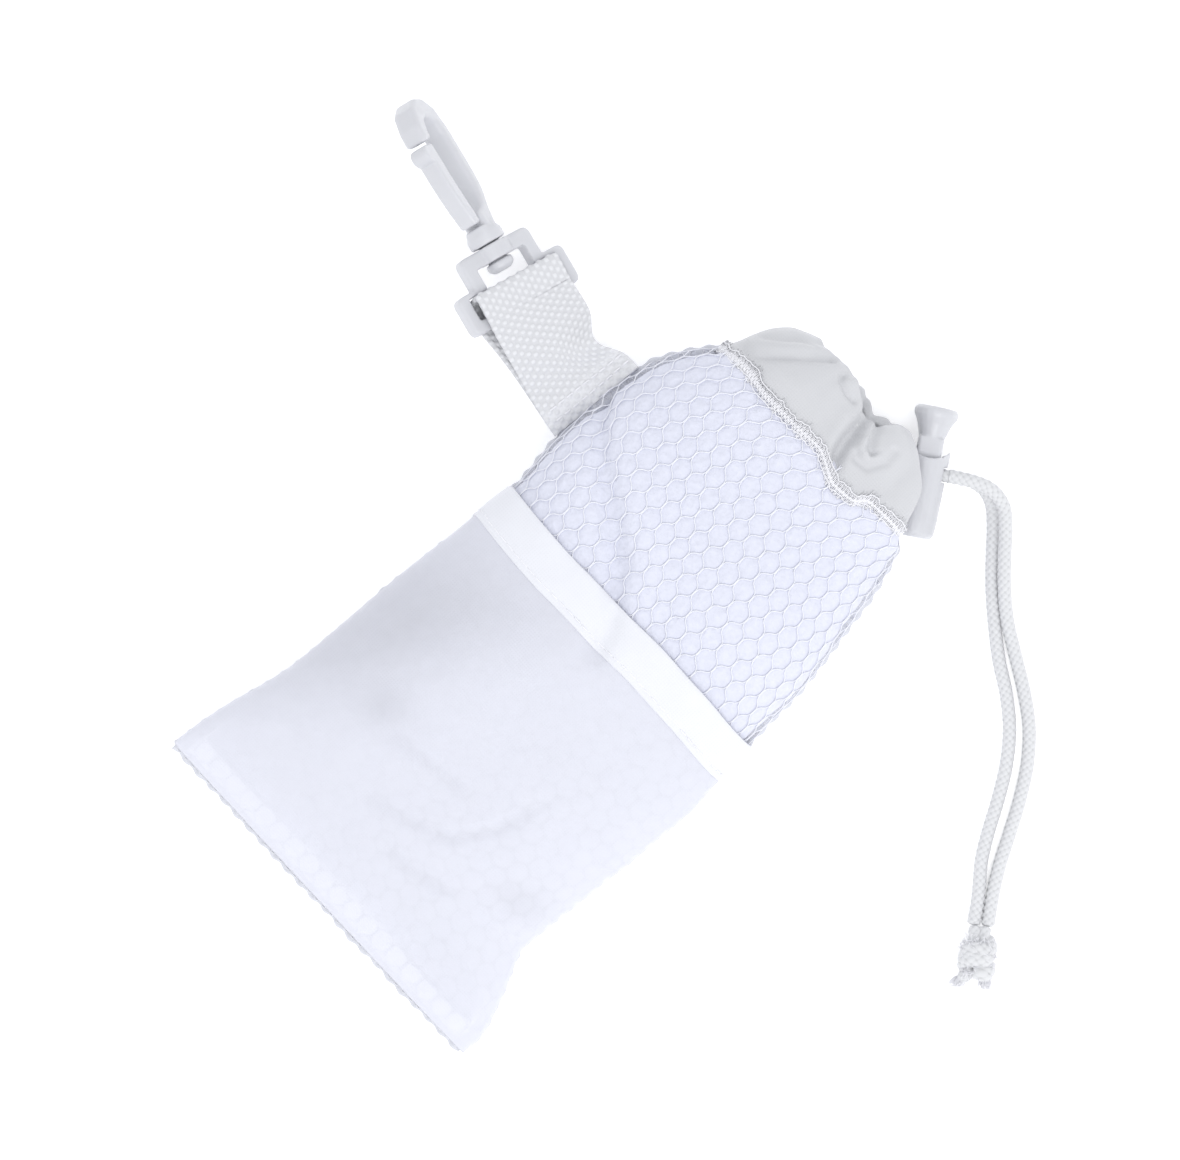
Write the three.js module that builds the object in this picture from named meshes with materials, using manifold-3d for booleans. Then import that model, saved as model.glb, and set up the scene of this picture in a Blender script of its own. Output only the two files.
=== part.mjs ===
// A small drawstring mesh pouch lying on its back, with a front pocket, a drawcord and
// cord lock at its mouth, and a webbing tab with a swivel snap hook on its left side.
// Millimetres, +Z up. In the pouch's own coordinates y = 0 is the bottom seam, y grows
// towards the mouth and z = 0 is the surface it lies on.
import * as THREE from 'three';
import { mergeVertices } from 'three/addons/utils/BufferGeometryUtils.js';
import Module from 'manifold-3d';

const wasm = await Module();
wasm.setup();

// ---- Driving dimensions -------------------------------------------------------------

const GAP = 0.35;               // clearance between touching pieces

// Pouch outline and section, each a list of [y, value] joined by a smooth curve.
const LEFT_EDGE = [[0, -50], [12, -48.4], [35, -43.8], [66, -42.2], [87, -40.4], [100, -39.4],
    [116, -41], [129, -41.2], [142, -39.6], [152, -35.6], [161, -29], [170, -25], [174, -21.5], [178, -15]];
const RIGHT_EDGE = [[0, 49.6], [4, 50], [15, 46.8], [24, 42.6], [28, 41.2], [35, 41.6], [52, 42.9],
    [76, 44.2], [100, 42.8], [118, 41.8], [135, 38.9], [150, 35.8], [156, 33.6], [161, 26.7], [170, 20.2],
    [174, 17.4], [178, 14.6]];
const SEAM_HEIGHT = [[0, 4.6], [20, 8], [60, 10.4], [150, 10.8], [161, 12], [178, 11.6]];
const FRONT_HEIGHT = [[0, 6.8], [5, 11], [12, 17], [24, 24], [40, 29], [70, 32.5], [120, 32.5],
    [148, 29.5], [161, 27], [170, 24], [174, 21.5], [178, 18]];
const BACK_HEIGHT = [[0, 3], [6, 0.8], [12, 0], [150, 0], [156, 0.5], [161, 1.4], [170, 2], [174, 3], [178, 5]];
const SECTION_POWER = 2 / 2.4;  // roundness of the section over the towel
const BACK_POWER = 0.6;         // the back is flatter, and clipped flat where it lies down
const BACK_SPREAD = 1.25;
const REST_CENTRE_Y = 84;       // middle of the flat on the back

const ROWS = [1.5, 4, 8, 14, 22, 30, 40, 54, 70, 88.7, 100, 114, 128, 140, 149, 155, 158.3];
const ACROSS = 12;              // steps over one face of the pouch
const NET_THICKNESS = 0.8;
const SEAM_HALF_GAP = 1;        // each panel's edge lies this far from the seam's mid plane
const SEAM_STRIP = { inside: 3, outside: 0.6, halfHeight: 0.65 };
const BOTTOM_SEAM = { from: -0.8, to: 1.15, halfHeight: 0.9 };

const POCKET_HEIGHT = 100;
const HEM_WIDTH = 11.2;
const POCKET_THICKNESS = 0.6;
const HEM_THICKNESS = 0.9;

const TOWEL = { from: 7, to: 158, side: 4.6, front: 2.3, back: 1.7 };

const COLLAR = { from: 160.95, rim: 177.4, ply: 0.6, channel: 4.7, cordY: 169.4 };
const COLLAR_SEAM = { from: 158.7, to: 160.6, proud: 0.4, depth: 1.2 };
const RING_STEPS = 24;

const CORD_DIAMETER = 3;
const CORD_SIDES = 8;
const STRAND_OFFSET = 1.65;     // half the distance between the two strands in the lock

// Cord lock: an oval barrel. Its own axis a runs from the base to the plunger's cap.
const LOCK = { x: 27.3, y: 170.2, z: 7, axisDegrees: 125.5, width: 10.5, depth: 13.5,
    base: -10.3, lip: 12.1, dish: 8.7, dishRadius: 6.6 };
const LOCK_HOLE = { at: 5.4, width: 3.7, depth: 7.2 };
const LOCK_CAVITY = { floor: -8.3, width: 6.7, depth: 10.1 };
const PLUNGER = { foot: -1, neck: 13.2, top: 21, width: 6, depth: 9.4, capWidth: 10.7, capDepth: 13, travel: 4 };
const SPRING = { radius: 2.3, wire: 0.32, turns: 3, from: -7.7, to: -1.7 };

// Clip: local x runs from the webbing to the hook's tip.
const CLIP = { x: -74.5, y: 133.2, z: 9.5, yawDegrees: 167.2, rollDegrees: 28, hookRollDegrees: 69 };
const EYE = { halfWide: 16.1, halfNarrow: 10.5, bottom: -6.5, shoulder: 3.6, top: 11.3, thickness: 4,
    barTop: -3.5, slotTop: 2.2, slotHalf: 13.1, windowHalf: 7.2, windowTop: 7.4, corner: 1.8,
    sleeveRadius: 4.6, boreRadius: 2.7 };
const BAR_CENTRE = (EYE.bottom + EYE.barTop) / 2;
const POST = { radius: 2.35, headRadius: 3.5, headFrom: 4.4, headTo: 7, flangeFrom: 11.65, flangeTo: 15.4,
    flangeRadius: 4.6 };
const HOOK_THICKNESS = 6;
const GATE_THICKNESS = 4.6;

// Webbing tab: two plies from the side seam, folded round the eye's bar.
const WEBBING = { width: 25, ply: 1.2, innerAtBar: 2.75, innerAtSeam: 0.17, foldTop: 1.8,
    seamX: -43.4, seamY: 128.9, seamSlope: 0.066 };

// Free tails of the drawcord, from the lock to the knot. Centre line points.
const TAIL_LEFT = [[28.8, 178, 5.35], [31.2, 179.7, 5.35], [33.6, 181.3, 5.2], [37.2, 182.1, 3.8],
    [41, 181, 2.2], [44.8, 178, 1.6], [49.2, 173.6, 1.6], [54.8, 168.2, 1.6], [61.6, 162.6, 1.6],
    [69, 157.2, 1.6], [76.6, 152.6, 1.6], [83.2, 147.4, 1.6], [88.8, 141, 1.6], [93.4, 134, 1.6],
    [97.6, 126.8, 1.6], [101.4, 121.2, 1.7], [105.4, 116.8, 1.9], [108.4, 113.2, 2.2], [111, 109.6, 2.6]];
const TAIL_RIGHT = [[28.8, 178, 8.65], [31.2, 179.7, 8.65], [33.6, 181.3, 8.6], [38, 183.2, 7.8],
    [42.8, 182.8, 6.2], [47.2, 179.6, 4.9], [51.3, 175.5, 4.2], [56.4, 170.6, 3.7], [63.2, 165.2, 2.8],
    [71, 160.7, 1.9], [78.6, 156.4, 1.6], [85.8, 151.4, 1.6], [91.8, 145.2, 1.6], [96.8, 138, 1.6],
    [101, 130.8, 1.6], [104.6, 124.4, 1.7], [108, 119.2, 1.9], [111, 115.2, 2.2], [113.6, 111.8, 2.6]];
const TAIL_STEPS = 30;
const KNOT = { x: 117.1, y: 105.3, z: 4.5, yawDegrees: -47.5, length: 12.4, radius: 4.3 };

// ---- Materials ----------------------------------------------------------------------

const material = (color, roughness) => new THREE.MeshStandardMaterial({ color, roughness, metalness: 0 });
const NET = material(0xf2f5fb, 0.8);
const WOVEN = material(0xe9ecf3, 0.75);
const TERRY = material(0xf4f7ff, 0.95);
const BRAID = material(0xeef0f4, 0.7);
const TAPE = material(0xf0f1f4, 0.7);
const PLASTIC = material(0xe2e5e8, 0.4);
const STEEL = new THREE.MeshStandardMaterial({ color: 0xb8bcc0, roughness: 0.3, metalness: 1 });

// ---- Curves and the pouch's section -------------------------------------------------

// A smooth curve through [y, value] points that never overshoots them.
function smoothCurve(points) {
    const slopes = points.slice(1).map((p, i) => (p[1] - points[i][1]) / (p[0] - points[i][0]));
    const tangents = points.map((p, i) => {
        const before = slopes[i - 1] ?? slopes[0];
        const after = slopes[i] ?? slopes[slopes.length - 1];
        return before * after <= 0 ? 0 : (2 * before * after) / (before + after);
    });
    return (y) => {
        const last = points.length - 1;
        if (y <= points[0][0]) return points[0][1];
        if (y >= points[last][0]) return points[last][1];
        const i = points.findIndex((p) => p[0] > y) - 1;
        const span = points[i + 1][0] - points[i][0];
        const t = (y - points[i][0]) / span;
        const rise = points[i + 1][1] - points[i][1];
        const a = span * tangents[i];
        const b = span * tangents[i + 1];
        return points[i][1] + t * (a + t * (3 * rise - 2 * a - b + t * (a + b - 2 * rise)));
    };
}

const leftEdge = smoothCurve(LEFT_EDGE);
const rightEdge = smoothCurve(RIGHT_EDGE);
const seamHeight = smoothCurve(SEAM_HEIGHT);
const frontHeight = smoothCurve(FRONT_HEIGHT);
const backHeight = smoothCurve(BACK_HEIGHT);

const signedPower = (value, power) => Math.sign(value) * Math.abs(value) ** power;

// A point of the pouch's section at y: angle 0 is the right seam, a quarter turn the front.
function sectionPoint(y, angle, inset, seamGap = 0) {
    const side = typeof inset === 'number' ? { side: inset, front: inset, back: inset } : inset;
    const middle = (leftEdge(y) + rightEdge(y)) / 2;
    const half = (rightEdge(y) - leftEdge(y)) / 2;
    const x = middle + (half - side.side) * signedPower(Math.cos(angle), SECTION_POWER);
    const up = Math.sin(angle);
    const seam = seamHeight(y);
    const z = up >= -1e-9
        ? seam + seamGap + (frontHeight(y) - side.front - seam - seamGap) * Math.abs(up) ** SECTION_POWER
        : seam - seamGap - (seam - seamGap - backHeight(y) - side.back)
            * Math.min(1, BACK_SPREAD * Math.abs(up) ** BACK_POWER);
    return new THREE.Vector3(x, y, z);
}

// ---- Closed meshes from grids of points ---------------------------------------------

// A closed mesh from rings of points. Each ring is closed; the rings are joined in order,
// and the two ends are capped, or the last ring is joined to the first one.
function meshFromRings(rings, { loop = false } = {}) {
    const n = rings[0].length;
    const positions = rings.flat().flatMap((p) => [p.x, p.y, p.z]);
    const index = [];
    const joins = loop ? rings.length : rings.length - 1;
    for (let r = 0; r < joins; r += 1) {
        const next = (r + 1) % rings.length;
        for (let i = 0; i < n; i += 1) {
            const j = (i + 1) % n;
            index.push(r * n + i, r * n + j, next * n + j);
            index.push(r * n + i, next * n + j, next * n + i);
        }
    }
    if (!loop) {
        for (const [r, flip] of [[0, true], [rings.length - 1, false]]) {
            const centre = rings[r].reduce((sum, p) => sum.add(p), new THREE.Vector3()).divideScalar(n);
            const c = positions.length / 3;
            positions.push(centre.x, centre.y, centre.z);
            for (let i = 0; i < n; i += 1) {
                const a = r * n + i;
                const b = r * n + ((i + 1) % n);
                index.push(...(flip ? [c, b, a] : [c, a, b]));
            }
        }
    }
    return outwards(positions, index);
}

// A closed shell between two open grids of the same size.
function shell(outer, inner) {
    const rows = outer.length;
    const columns = outer[0].length;
    const positions = [...outer.flat(), ...inner.flat()].flatMap((p) => [p.x, p.y, p.z]);
    const at = (layer, r, c) => layer * rows * columns + r * columns + c;
    const index = [];
    const quad = (a, b, c, d) => index.push(a, b, c, a, c, d);
    for (let r = 0; r + 1 < rows; r += 1) {
        for (let c = 0; c + 1 < columns; c += 1) {
            quad(at(0, r, c), at(0, r, c + 1), at(0, r + 1, c + 1), at(0, r + 1, c));
            quad(at(1, r, c), at(1, r + 1, c), at(1, r + 1, c + 1), at(1, r, c + 1));
        }
        quad(at(0, r, 0), at(0, r + 1, 0), at(1, r + 1, 0), at(1, r, 0));
        quad(at(0, r, columns - 1), at(1, r, columns - 1), at(1, r + 1, columns - 1), at(0, r + 1, columns - 1));
    }
    for (let c = 0; c + 1 < columns; c += 1) {
        quad(at(0, 0, c), at(1, 0, c), at(1, 0, c + 1), at(0, 0, c + 1));
        quad(at(0, rows - 1, c), at(0, rows - 1, c + 1), at(1, rows - 1, c + 1), at(1, rows - 1, c));
    }
    return outwards(positions, index);
}

// Builds the geometry, turning the faces over if they point in.
function outwards(positions, index) {
    let volume = 0;
    const corner = (i) => new THREE.Vector3().fromArray(positions, index[i] * 3);
    for (let i = 0; i < index.length; i += 3) {
        volume += corner(i).dot(corner(i + 1).cross(corner(i + 2)));
    }
    const faces = volume > 0 ? index : index.map((_, i) => index[i - (i % 3) + [0, 2, 1][i % 3]]);
    const geometry = new THREE.BufferGeometry();
    geometry.setAttribute('position', new THREE.Float32BufferAttribute(positions, 3));
    geometry.setIndex(faces);
    return geometry;
}

// ---- Solids that are joined and cut -------------------------------------------------

function solid(geometry) {
    const bare = geometry.clone();
    bare.deleteAttribute('normal');
    bare.deleteAttribute('uv');
    const merged = mergeVertices(bare, 1e-4);
    return new wasm.Manifold(new wasm.Mesh({
        numProp: 3,
        vertProperties: new Float32Array(merged.attributes.position.array),
        triVerts: new Uint32Array(merged.index.array),
    }));
}

function geometryOf(manifold) {
    const mesh = manifold.getMesh();
    const geometry = new THREE.BufferGeometry();
    geometry.setAttribute('position', new THREE.Float32BufferAttribute(mesh.vertProperties, 3));
    geometry.setIndex(Array.from(mesh.triVerts));
    return geometry;
}

const moved = (geometry, x, y, z) => geometry.clone().translate(x, y, z);

// A closed tube of round section along a smooth curve through the points.
function tube(points, diameter, steps, sides = CORD_SIDES) {
    const path = new THREE.CatmullRomCurve3(points.map((p) => new THREE.Vector3(...p)), false, 'centripetal');
    const section = new THREE.Shape();
    for (let i = 0; i < sides; i += 1) {
        const turn = (2 * Math.PI * i) / sides;
        const point = [(diameter / 2) * Math.cos(turn), (diameter / 2) * Math.sin(turn)];
        if (i === 0) section.moveTo(...point);
        else section.lineTo(...point);
    }
    section.closePath();
    return new THREE.ExtrudeGeometry(section, { steps, bevelEnabled: false, extrudePath: path });
}

// An outline through points, extruded evenly about z = 0, with small bevels.
function plate(shape, thickness, bevel = 0.6, curveSegments = 5) {
    const geometry = new THREE.ExtrudeGeometry(shape, {
        depth: thickness - 2 * bevel, bevelEnabled: bevel > 0, bevelThickness: bevel, bevelSize: bevel,
        bevelOffset: -bevel, bevelSegments: 1, steps: 1, curveSegments,
    });
    return geometry.translate(0, 0, -thickness / 2 + bevel);
}

// A solid of oval section along z: rings are [z, width, depth].
function oval(rings, sides = 16) {
    return meshFromRings(rings.map(([z, width, depth]) => Array.from({ length: sides }, (_, i) => {
        const turn = (2 * Math.PI * (i + 0.5)) / sides;
        return new THREE.Vector3((width / 2) * Math.cos(turn), (depth / 2) * Math.sin(turn), z);
    })));
}

function roundedRectangle(x0, y0, x1, y1, r) {
    const shape = new THREE.Shape();
    shape.moveTo(x0 + r, y0);
    shape.lineTo(x1 - r, y0);
    shape.quadraticCurveTo(x1, y0, x1, y0 + r);
    shape.lineTo(x1, y1 - r);
    shape.quadraticCurveTo(x1, y1, x1 - r, y1);
    shape.lineTo(x0 + r, y1);
    shape.quadraticCurveTo(x0, y1, x0, y1 - r);
    shape.lineTo(x0, y0 + r);
    shape.quadraticCurveTo(x0, y0, x0 + r, y0);
    return shape;
}

// ---- Soft parts of the pouch --------------------------------------------------------

// A grid of section points over one face: front from the right seam to the left one.
function faceGrid(rows, inset, face) {
    return rows.map((y) => Array.from({ length: ACROSS + 1 }, (_, i) => {
        const angle = THREE.MathUtils.clamp((Math.PI * i) / ACROSS, 1e-6, Math.PI - 1e-6);
        return sectionPoint(y, face === 'front' ? angle : -angle, inset, SEAM_HALF_GAP);
    }));
}

const netPanel = (face) => shell(faceGrid(ROWS, 0, face), faceGrid(ROWS, NET_THICKNESS, face));

function pocketLayer(rows, thickness) {
    return shell(faceGrid(rows, -GAP - thickness, 'front'), faceGrid(rows, -GAP, 'front'));
}

const pocketPanel = () => pocketLayer([...ROWS.filter((y) => y < POCKET_HEIGHT - HEM_WIDTH - 1),
    POCKET_HEIGHT - HEM_WIDTH - GAP], POCKET_THICKNESS);
const pocketHem = () => pocketLayer([POCKET_HEIGHT - HEM_WIDTH, POCKET_HEIGHT - HEM_WIDTH / 2, POCKET_HEIGHT],
    HEM_THICKNESS);

// A flat strip along one side, between the edges of the front and back panels.
function sideSeam(edge, outwardSign) {
    const { inside, outside, halfHeight } = SEAM_STRIP;
    return meshFromRings(ROWS.map((y) => {
        const outer = edge(y) + outwardSign * outside;
        const inner = edge(y) - outwardSign * inside;
        const z = seamHeight(y);
        return [[outer, -1], [outer, 1], [inner, 1], [inner, -1]].map(
            ([x, up]) => new THREE.Vector3(x, y, z + up * halfHeight));
    }));
}

function bottomSeam() {
    const { from, to, halfHeight } = BOTTOM_SEAM;
    const z = seamHeight(0);
    const left = leftEdge(0) - SEAM_STRIP.outside;
    const right = rightEdge(0) + SEAM_STRIP.outside;
    const steps = 10;
    return meshFromRings(Array.from({ length: steps + 1 }, (_, i) => {
        const x = left + ((right - left) * i) / steps;
        return [[from, -1], [to, -1], [to, 1], [from, 1]].map(
            ([y, up]) => new THREE.Vector3(x, y, z + up * halfHeight));
    }));
}

// The folded towel: a plain closed cushion that fills the net.
function foldedTowel() {
    const { from, to, side, front, back } = TOWEL;
    const inner = ROWS.filter((y) => y > from + 3 && y < to - 3);
    const rows = [[from, 0.72], [from + 2, 0.92], ...inner.map((y) => [y, 1]), [to - 1.5, 0.94], [to, 0.8]];
    return meshFromRings(rows.map(([y, scale]) => Array.from({ length: 2 * ACROSS }, (_, i) => {
        const point = sectionPoint(y, (Math.PI * i) / ACROSS, { side, front, back });
        const middle = (leftEdge(y) + rightEdge(y)) / 2;
        const height = (frontHeight(y) + backHeight(y)) / 2;
        return new THREE.Vector3(middle + (point.x - middle) * scale, y, height + (point.z - height) * scale);
    })));
}

// A ring round the pouch's section: profile is a closed list of [y, inset].
function sectionRing(profile) {
    return meshFromRings(Array.from({ length: RING_STEPS }, (_, i) => {
        const angle = (2 * Math.PI * i) / RING_STEPS;
        return profile.map(([y, inset]) => sectionPoint(y, angle, inset));
    }), { loop: true });
}

function collarSeam() {
    const { from, to, proud, depth } = COLLAR_SEAM;
    return sectionRing([[from, -proud], [to, -proud], [to, depth], [from, depth]]);
}

// The collar is one strip folded double along the mouth, so the cord runs between its plies.
function collarChannel() {
    const { from, rim, ply, channel } = COLLAR;
    const innerFace = 2 * ply + channel;
    const middle = innerFace / 2;
    const ring = sectionRing([
        [from, 0], [165, 0], [170, 0], [174, 0.1], [176.4, 0.9], [rim, middle], [176.4, innerFace - 0.9],
        [174, innerFace - 0.1], [170, innerFace], [165, innerFace], [from, innerFace],
        [from, ply + channel], [170, ply + channel], [174.6, ply + channel - 0.8], [175.6, middle],
        [174.6, ply + 0.8], [170, ply], [from, ply],
    ]);
    const exit = new THREE.BoxGeometry(5.4, 4.4, 9).rotateZ(THREE.MathUtils.degToRad(LOCK.axisDegrees - 90))
        .translate(...lockPoint(LOCK_HOLE.at, -7).toArray());
    return geometryOf(solid(ring).subtract(solid(exit)));
}

// ---- Drawcord -----------------------------------------------------------------------

const LOCK_AXIS = new THREE.Vector3(1, 0, 0).applyAxisAngle(
    new THREE.Vector3(0, 0, 1), THREE.MathUtils.degToRad(LOCK.axisDegrees));
const CORD_DIRECTION = new THREE.Vector3(LOCK_AXIS.y, -LOCK_AXIS.x, 0);

// A point by the lock: a along its axis, t along the cord's way through it, up from its middle.
function lockPoint(a, t, up = 0) {
    return new THREE.Vector3(LOCK.x, LOCK.y, LOCK.z + up).addScaledVector(LOCK_AXIS, a)
        .addScaledVector(CORD_DIRECTION, t);
}

// The held part of the cord: through the lock, round the channel and back through the lock.
function heldDrawcord() {
    const face = LOCK.width / 2 + 0.1;
    const strand = (up, distances) => distances.map((t) => lockPoint(LOCK_HOLE.at, t, up).toArray());
    const inset = COLLAR.ply + COLLAR.channel / 2;
    const around = [14, 32, 54, 78, 105, 135, 160, 180, 200, 225, 255, 285, 310].map((degrees) => {
        const angle = THREE.MathUtils.degToRad(degrees);
        return sectionPoint(COLLAR.cordY, angle, inset).toArray();
    });
    return tube([...strand(STRAND_OFFSET, [face, 0, -face, -7.6]), ...around,
        ...strand(-STRAND_OFFSET, [-7.6, -face, 0, face])], CORD_DIAMETER, 50);
}

// The knot that joins the tails: a plain lumpy body round which the real knot is wound.
function cordKnot() {
    const { length, radius } = KNOT;
    const waist = [[-0.5, 1.24], [-0.3, 1.8], [-0.05, 2], [0.18, 1.72], [0.38, 1.32], [0.5, 0.8]];
    return oval(waist.map(([share, width]) => [share * length, width * radius, width * radius]), 12);
}

// ---- Cord lock ----------------------------------------------------------------------
// Built with its axis along local z, the cord's way along local x, then laid down.

function lockBody() {
    const { base, lip, width, depth, dish, dishRadius } = LOCK;
    const barrel = oval([[base, width - 2, depth - 2], [base + 1, width - 0.4, depth - 0.4],
        [base + 4, width, depth], [lip - 2, width, depth], [lip, width - 0.8, depth - 0.8]], 20);
    const dishCut = new THREE.CylinderGeometry(dishRadius, dishRadius, depth + 4, 24);
    const hole = new THREE.BoxGeometry(width + 4, LOCK_HOLE.depth, LOCK_HOLE.width);
    const cavityHeight = lip - LOCK_CAVITY.floor + 4;
    const cavity = new THREE.BoxGeometry(LOCK_CAVITY.width, LOCK_CAVITY.depth, cavityHeight);
    return geometryOf(solid(barrel)
        .subtract(solid(moved(dishCut, 0, 0, dish + dishRadius)))
        .subtract(solid(moved(hole, 0, 0, LOCK_HOLE.at)))
        .subtract(solid(moved(cavity, 0, 0, LOCK_CAVITY.floor + cavityHeight / 2))));
}

function lockPlunger() {
    const { foot, neck, top, width, depth, capWidth, capDepth, travel } = PLUNGER;
    const stem = plate(roundedRectangle(-width / 2, -depth / 2, width / 2, depth / 2, 0.6), neck + 0.5 - foot, 0);
    const cap = oval([[neck, width, depth], [neck + 3.6, width + 2.2, depth + 1.5], [top - 2, capWidth, capDepth],
        [top - 0.8, capWidth, capDepth], [top, capWidth - 1.6, capDepth - 1.6]], 20);
    const slotFrom = LOCK_HOLE.at - CORD_DIAMETER / 2 - GAP;
    const slotLength = CORD_DIAMETER + 2 * GAP + travel;
    const slot = new THREE.BoxGeometry(width + 4, LOCK_HOLE.depth - 0.2, slotLength);
    return geometryOf(solid(moved(stem, 0, 0, (neck + 0.5 + foot) / 2)).add(solid(cap))
        .subtract(solid(moved(slot, 0, 0, slotFrom + slotLength / 2))));
}

function lockSpring() {
    const { radius, wire, turns, from, to } = SPRING;
    const steps = turns * 10;
    const points = Array.from({ length: steps + 1 }, (_, i) => {
        const turn = (2 * Math.PI * i) / 10;
        return [radius * Math.cos(turn), radius * Math.sin(turn), from + ((to - from) * i) / steps];
    });
    return tube(points, 2 * wire, steps, 5);
}

// ---- Clip ---------------------------------------------------------------------------
// Local x runs to the hook's tip. The eye lies in the local xy plane.

function swivelEye() {
    const { halfWide, halfNarrow, bottom, shoulder, top, thickness, corner } = EYE;
    const wide = plate(roundedRectangle(bottom, -halfWide, shoulder, halfWide, corner), thickness, 0.5, 3);
    const narrow = plate(roundedRectangle(shoulder - 4, -halfNarrow, top, halfNarrow, corner), thickness, 0.5, 3);
    const slot = new THREE.BoxGeometry(EYE.slotTop - EYE.barTop, 2 * EYE.slotHalf, thickness + 4);
    const window = new THREE.BoxGeometry(EYE.windowTop - EYE.barTop, 2 * EYE.windowHalf, thickness + 4);
    const sleeve = new THREE.CylinderGeometry(EYE.sleeveRadius, EYE.sleeveRadius, top - EYE.windowTop, 16);
    const bore = new THREE.CylinderGeometry(EYE.boreRadius, EYE.boreRadius, 12, 16);
    const sleeveAt = (top + EYE.windowTop) / 2;
    return geometryOf(solid(wide).add(solid(narrow))
        .add(solid(moved(sleeve.rotateZ(Math.PI / 2), sleeveAt, 0, 0)))
        .subtract(solid(moved(slot, (EYE.slotTop + EYE.barTop) / 2, 0, 0)))
        .subtract(solid(moved(window, (EYE.windowTop + EYE.barTop) / 2, 0, 0)))
        .subtract(solid(moved(bore.rotateZ(Math.PI / 2), sleeveAt, 0, 0))));
}

// The hook's side outline, in its own plane: x to the tip, y towards the gate.
function hookOutline() {
    const shape = new THREE.Shape();
    shape.moveTo(13.2, -4.2);
    shape.lineTo(15.4, -4.2);
    shape.quadraticCurveTo(19.5, -5.2, 22, -7.2);
    shape.quadraticCurveTo(24.5, -8.8, 29, -8.8);
    shape.lineTo(41, -8.4);
    shape.bezierCurveTo(52.5, -8.2, 53.5, 6.6, 44, 8.2);
    shape.lineTo(39.8, 8.4);
    shape.lineTo(39.8, 4.6);
    shape.lineTo(42, 4.2);
    shape.bezierCurveTo(46.6, 3.2, 46, -4.2, 40, -4.5);
    shape.lineTo(28, -4.8);
    shape.quadraticCurveTo(22.5, -4.4, 20.4, -1.4);
    shape.lineTo(19.2, 2.2);
    shape.lineTo(16.2, 2.2);
    shape.lineTo(16.2, 4.2);
    shape.lineTo(13.2, 4.2);
    shape.closePath();
    return shape;
}

function hookBody() {
    const { radius, headRadius, headFrom, headTo, flangeFrom, flangeTo, flangeRadius } = POST;
    const post = oval([[headFrom, 4.4], [headFrom + 1, 2 * headRadius], [headTo, 2 * headRadius],
        [headTo, 2 * radius], [flangeFrom, 2 * radius], [flangeFrom, 2 * flangeRadius],
        [flangeTo - 1.2, 2 * flangeRadius], [flangeTo, 2 * flangeRadius - 1.6]].map(([z, d]) => [z, d, d]));
    return geometryOf(solid(plate(hookOutline(), HOOK_THICKNESS, 0.7)).add(solid(post.rotateY(Math.PI / 2))));
}

function hookGate() {
    const shape = new THREE.Shape();
    shape.moveTo(17, 2.7);
    shape.lineTo(19.4, 2.8);
    shape.quadraticCurveTo(26, 4.2, 33, 4.4);
    shape.lineTo(39, 4.8);
    shape.lineTo(39, 9);
    shape.quadraticCurveTo(38.9, 11.3, 37, 11.4);
    shape.quadraticCurveTo(35, 11.3, 34.4, 8.8);
    shape.quadraticCurveTo(26, 8.6, 20, 6.6);
    shape.lineTo(17, 5.6);
    shape.closePath();
    return plate(shape, GATE_THICKNESS, 0.4);
}

// ---- Webbing tab --------------------------------------------------------------------

function clipPoint(along, across, up) {
    const clip = new THREE.Matrix4().makeRotationZ(THREE.MathUtils.degToRad(CLIP.yawDegrees))
        .multiply(new THREE.Matrix4().makeRotationX(THREE.MathUtils.degToRad(CLIP.rollDegrees)));
    return new THREE.Vector3(along, across, up).applyMatrix4(clip).add(new THREE.Vector3(CLIP.x, CLIP.y, CLIP.z));
}

// A point of the tab: share runs from 0 at the seam to 1 at the bar, and past it the fold
// goes on by beyond. across is -1 to 1 over the width, up is the distance from its middle.
function tabPoint(share, beyond, across, up) {
    const reach = (WEBBING.width / 2) * across;
    const seam = new THREE.Vector3(WEBBING.seamX - WEBBING.seamSlope * reach, WEBBING.seamY - reach,
        seamHeight(WEBBING.seamY) + up);
    const bar = clipPoint(BAR_CENTRE + beyond, reach, up);
    return seam.lerp(bar, share);
}

function webbingTab() {
    const { ply, innerAtBar, innerAtSeam, foldTop } = WEBBING;
    const straight = [0, 0.25, 0.5, 0.75, 1];
    const opening = (share) => innerAtSeam + (innerAtBar - innerAtSeam) * (share ** 1.5);
    // One side of the loop as [share, beyond, distance from the middle], from the seam to the fold's crown.
    const line = (extra) => {
        const reach = foldTop - BAR_CENTRE - ply + extra;
        const height = innerAtBar + extra;
        return [...straight.map((share) => [share, 0, opening(share) + extra]),
            [1, reach * 0.6, height * 0.98], [1, reach * 0.86, height * 0.72], [1, reach, height * 0.25]];
    };
    const wrap = (extra) => {
        const upper = line(extra);
        return [...upper, ...upper.slice().reverse().map(([share, beyond, up]) => [share, beyond, -up])];
    };
    const columns = [-1, -0.34, 0.34, 1];
    const grid = (profile) => columns.map((across) => profile.map(
        ([share, beyond, up]) => tabPoint(share, beyond, across, up)));
    return shell(grid(wrap(ply)), grid(wrap(0)));
}

// ---- Assembly -----------------------------------------------------------------------

function named(name, geometry, finish) {
    const mesh = new THREE.Mesh(geometry, finish);
    mesh.name = name;
    return mesh;
}

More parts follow.
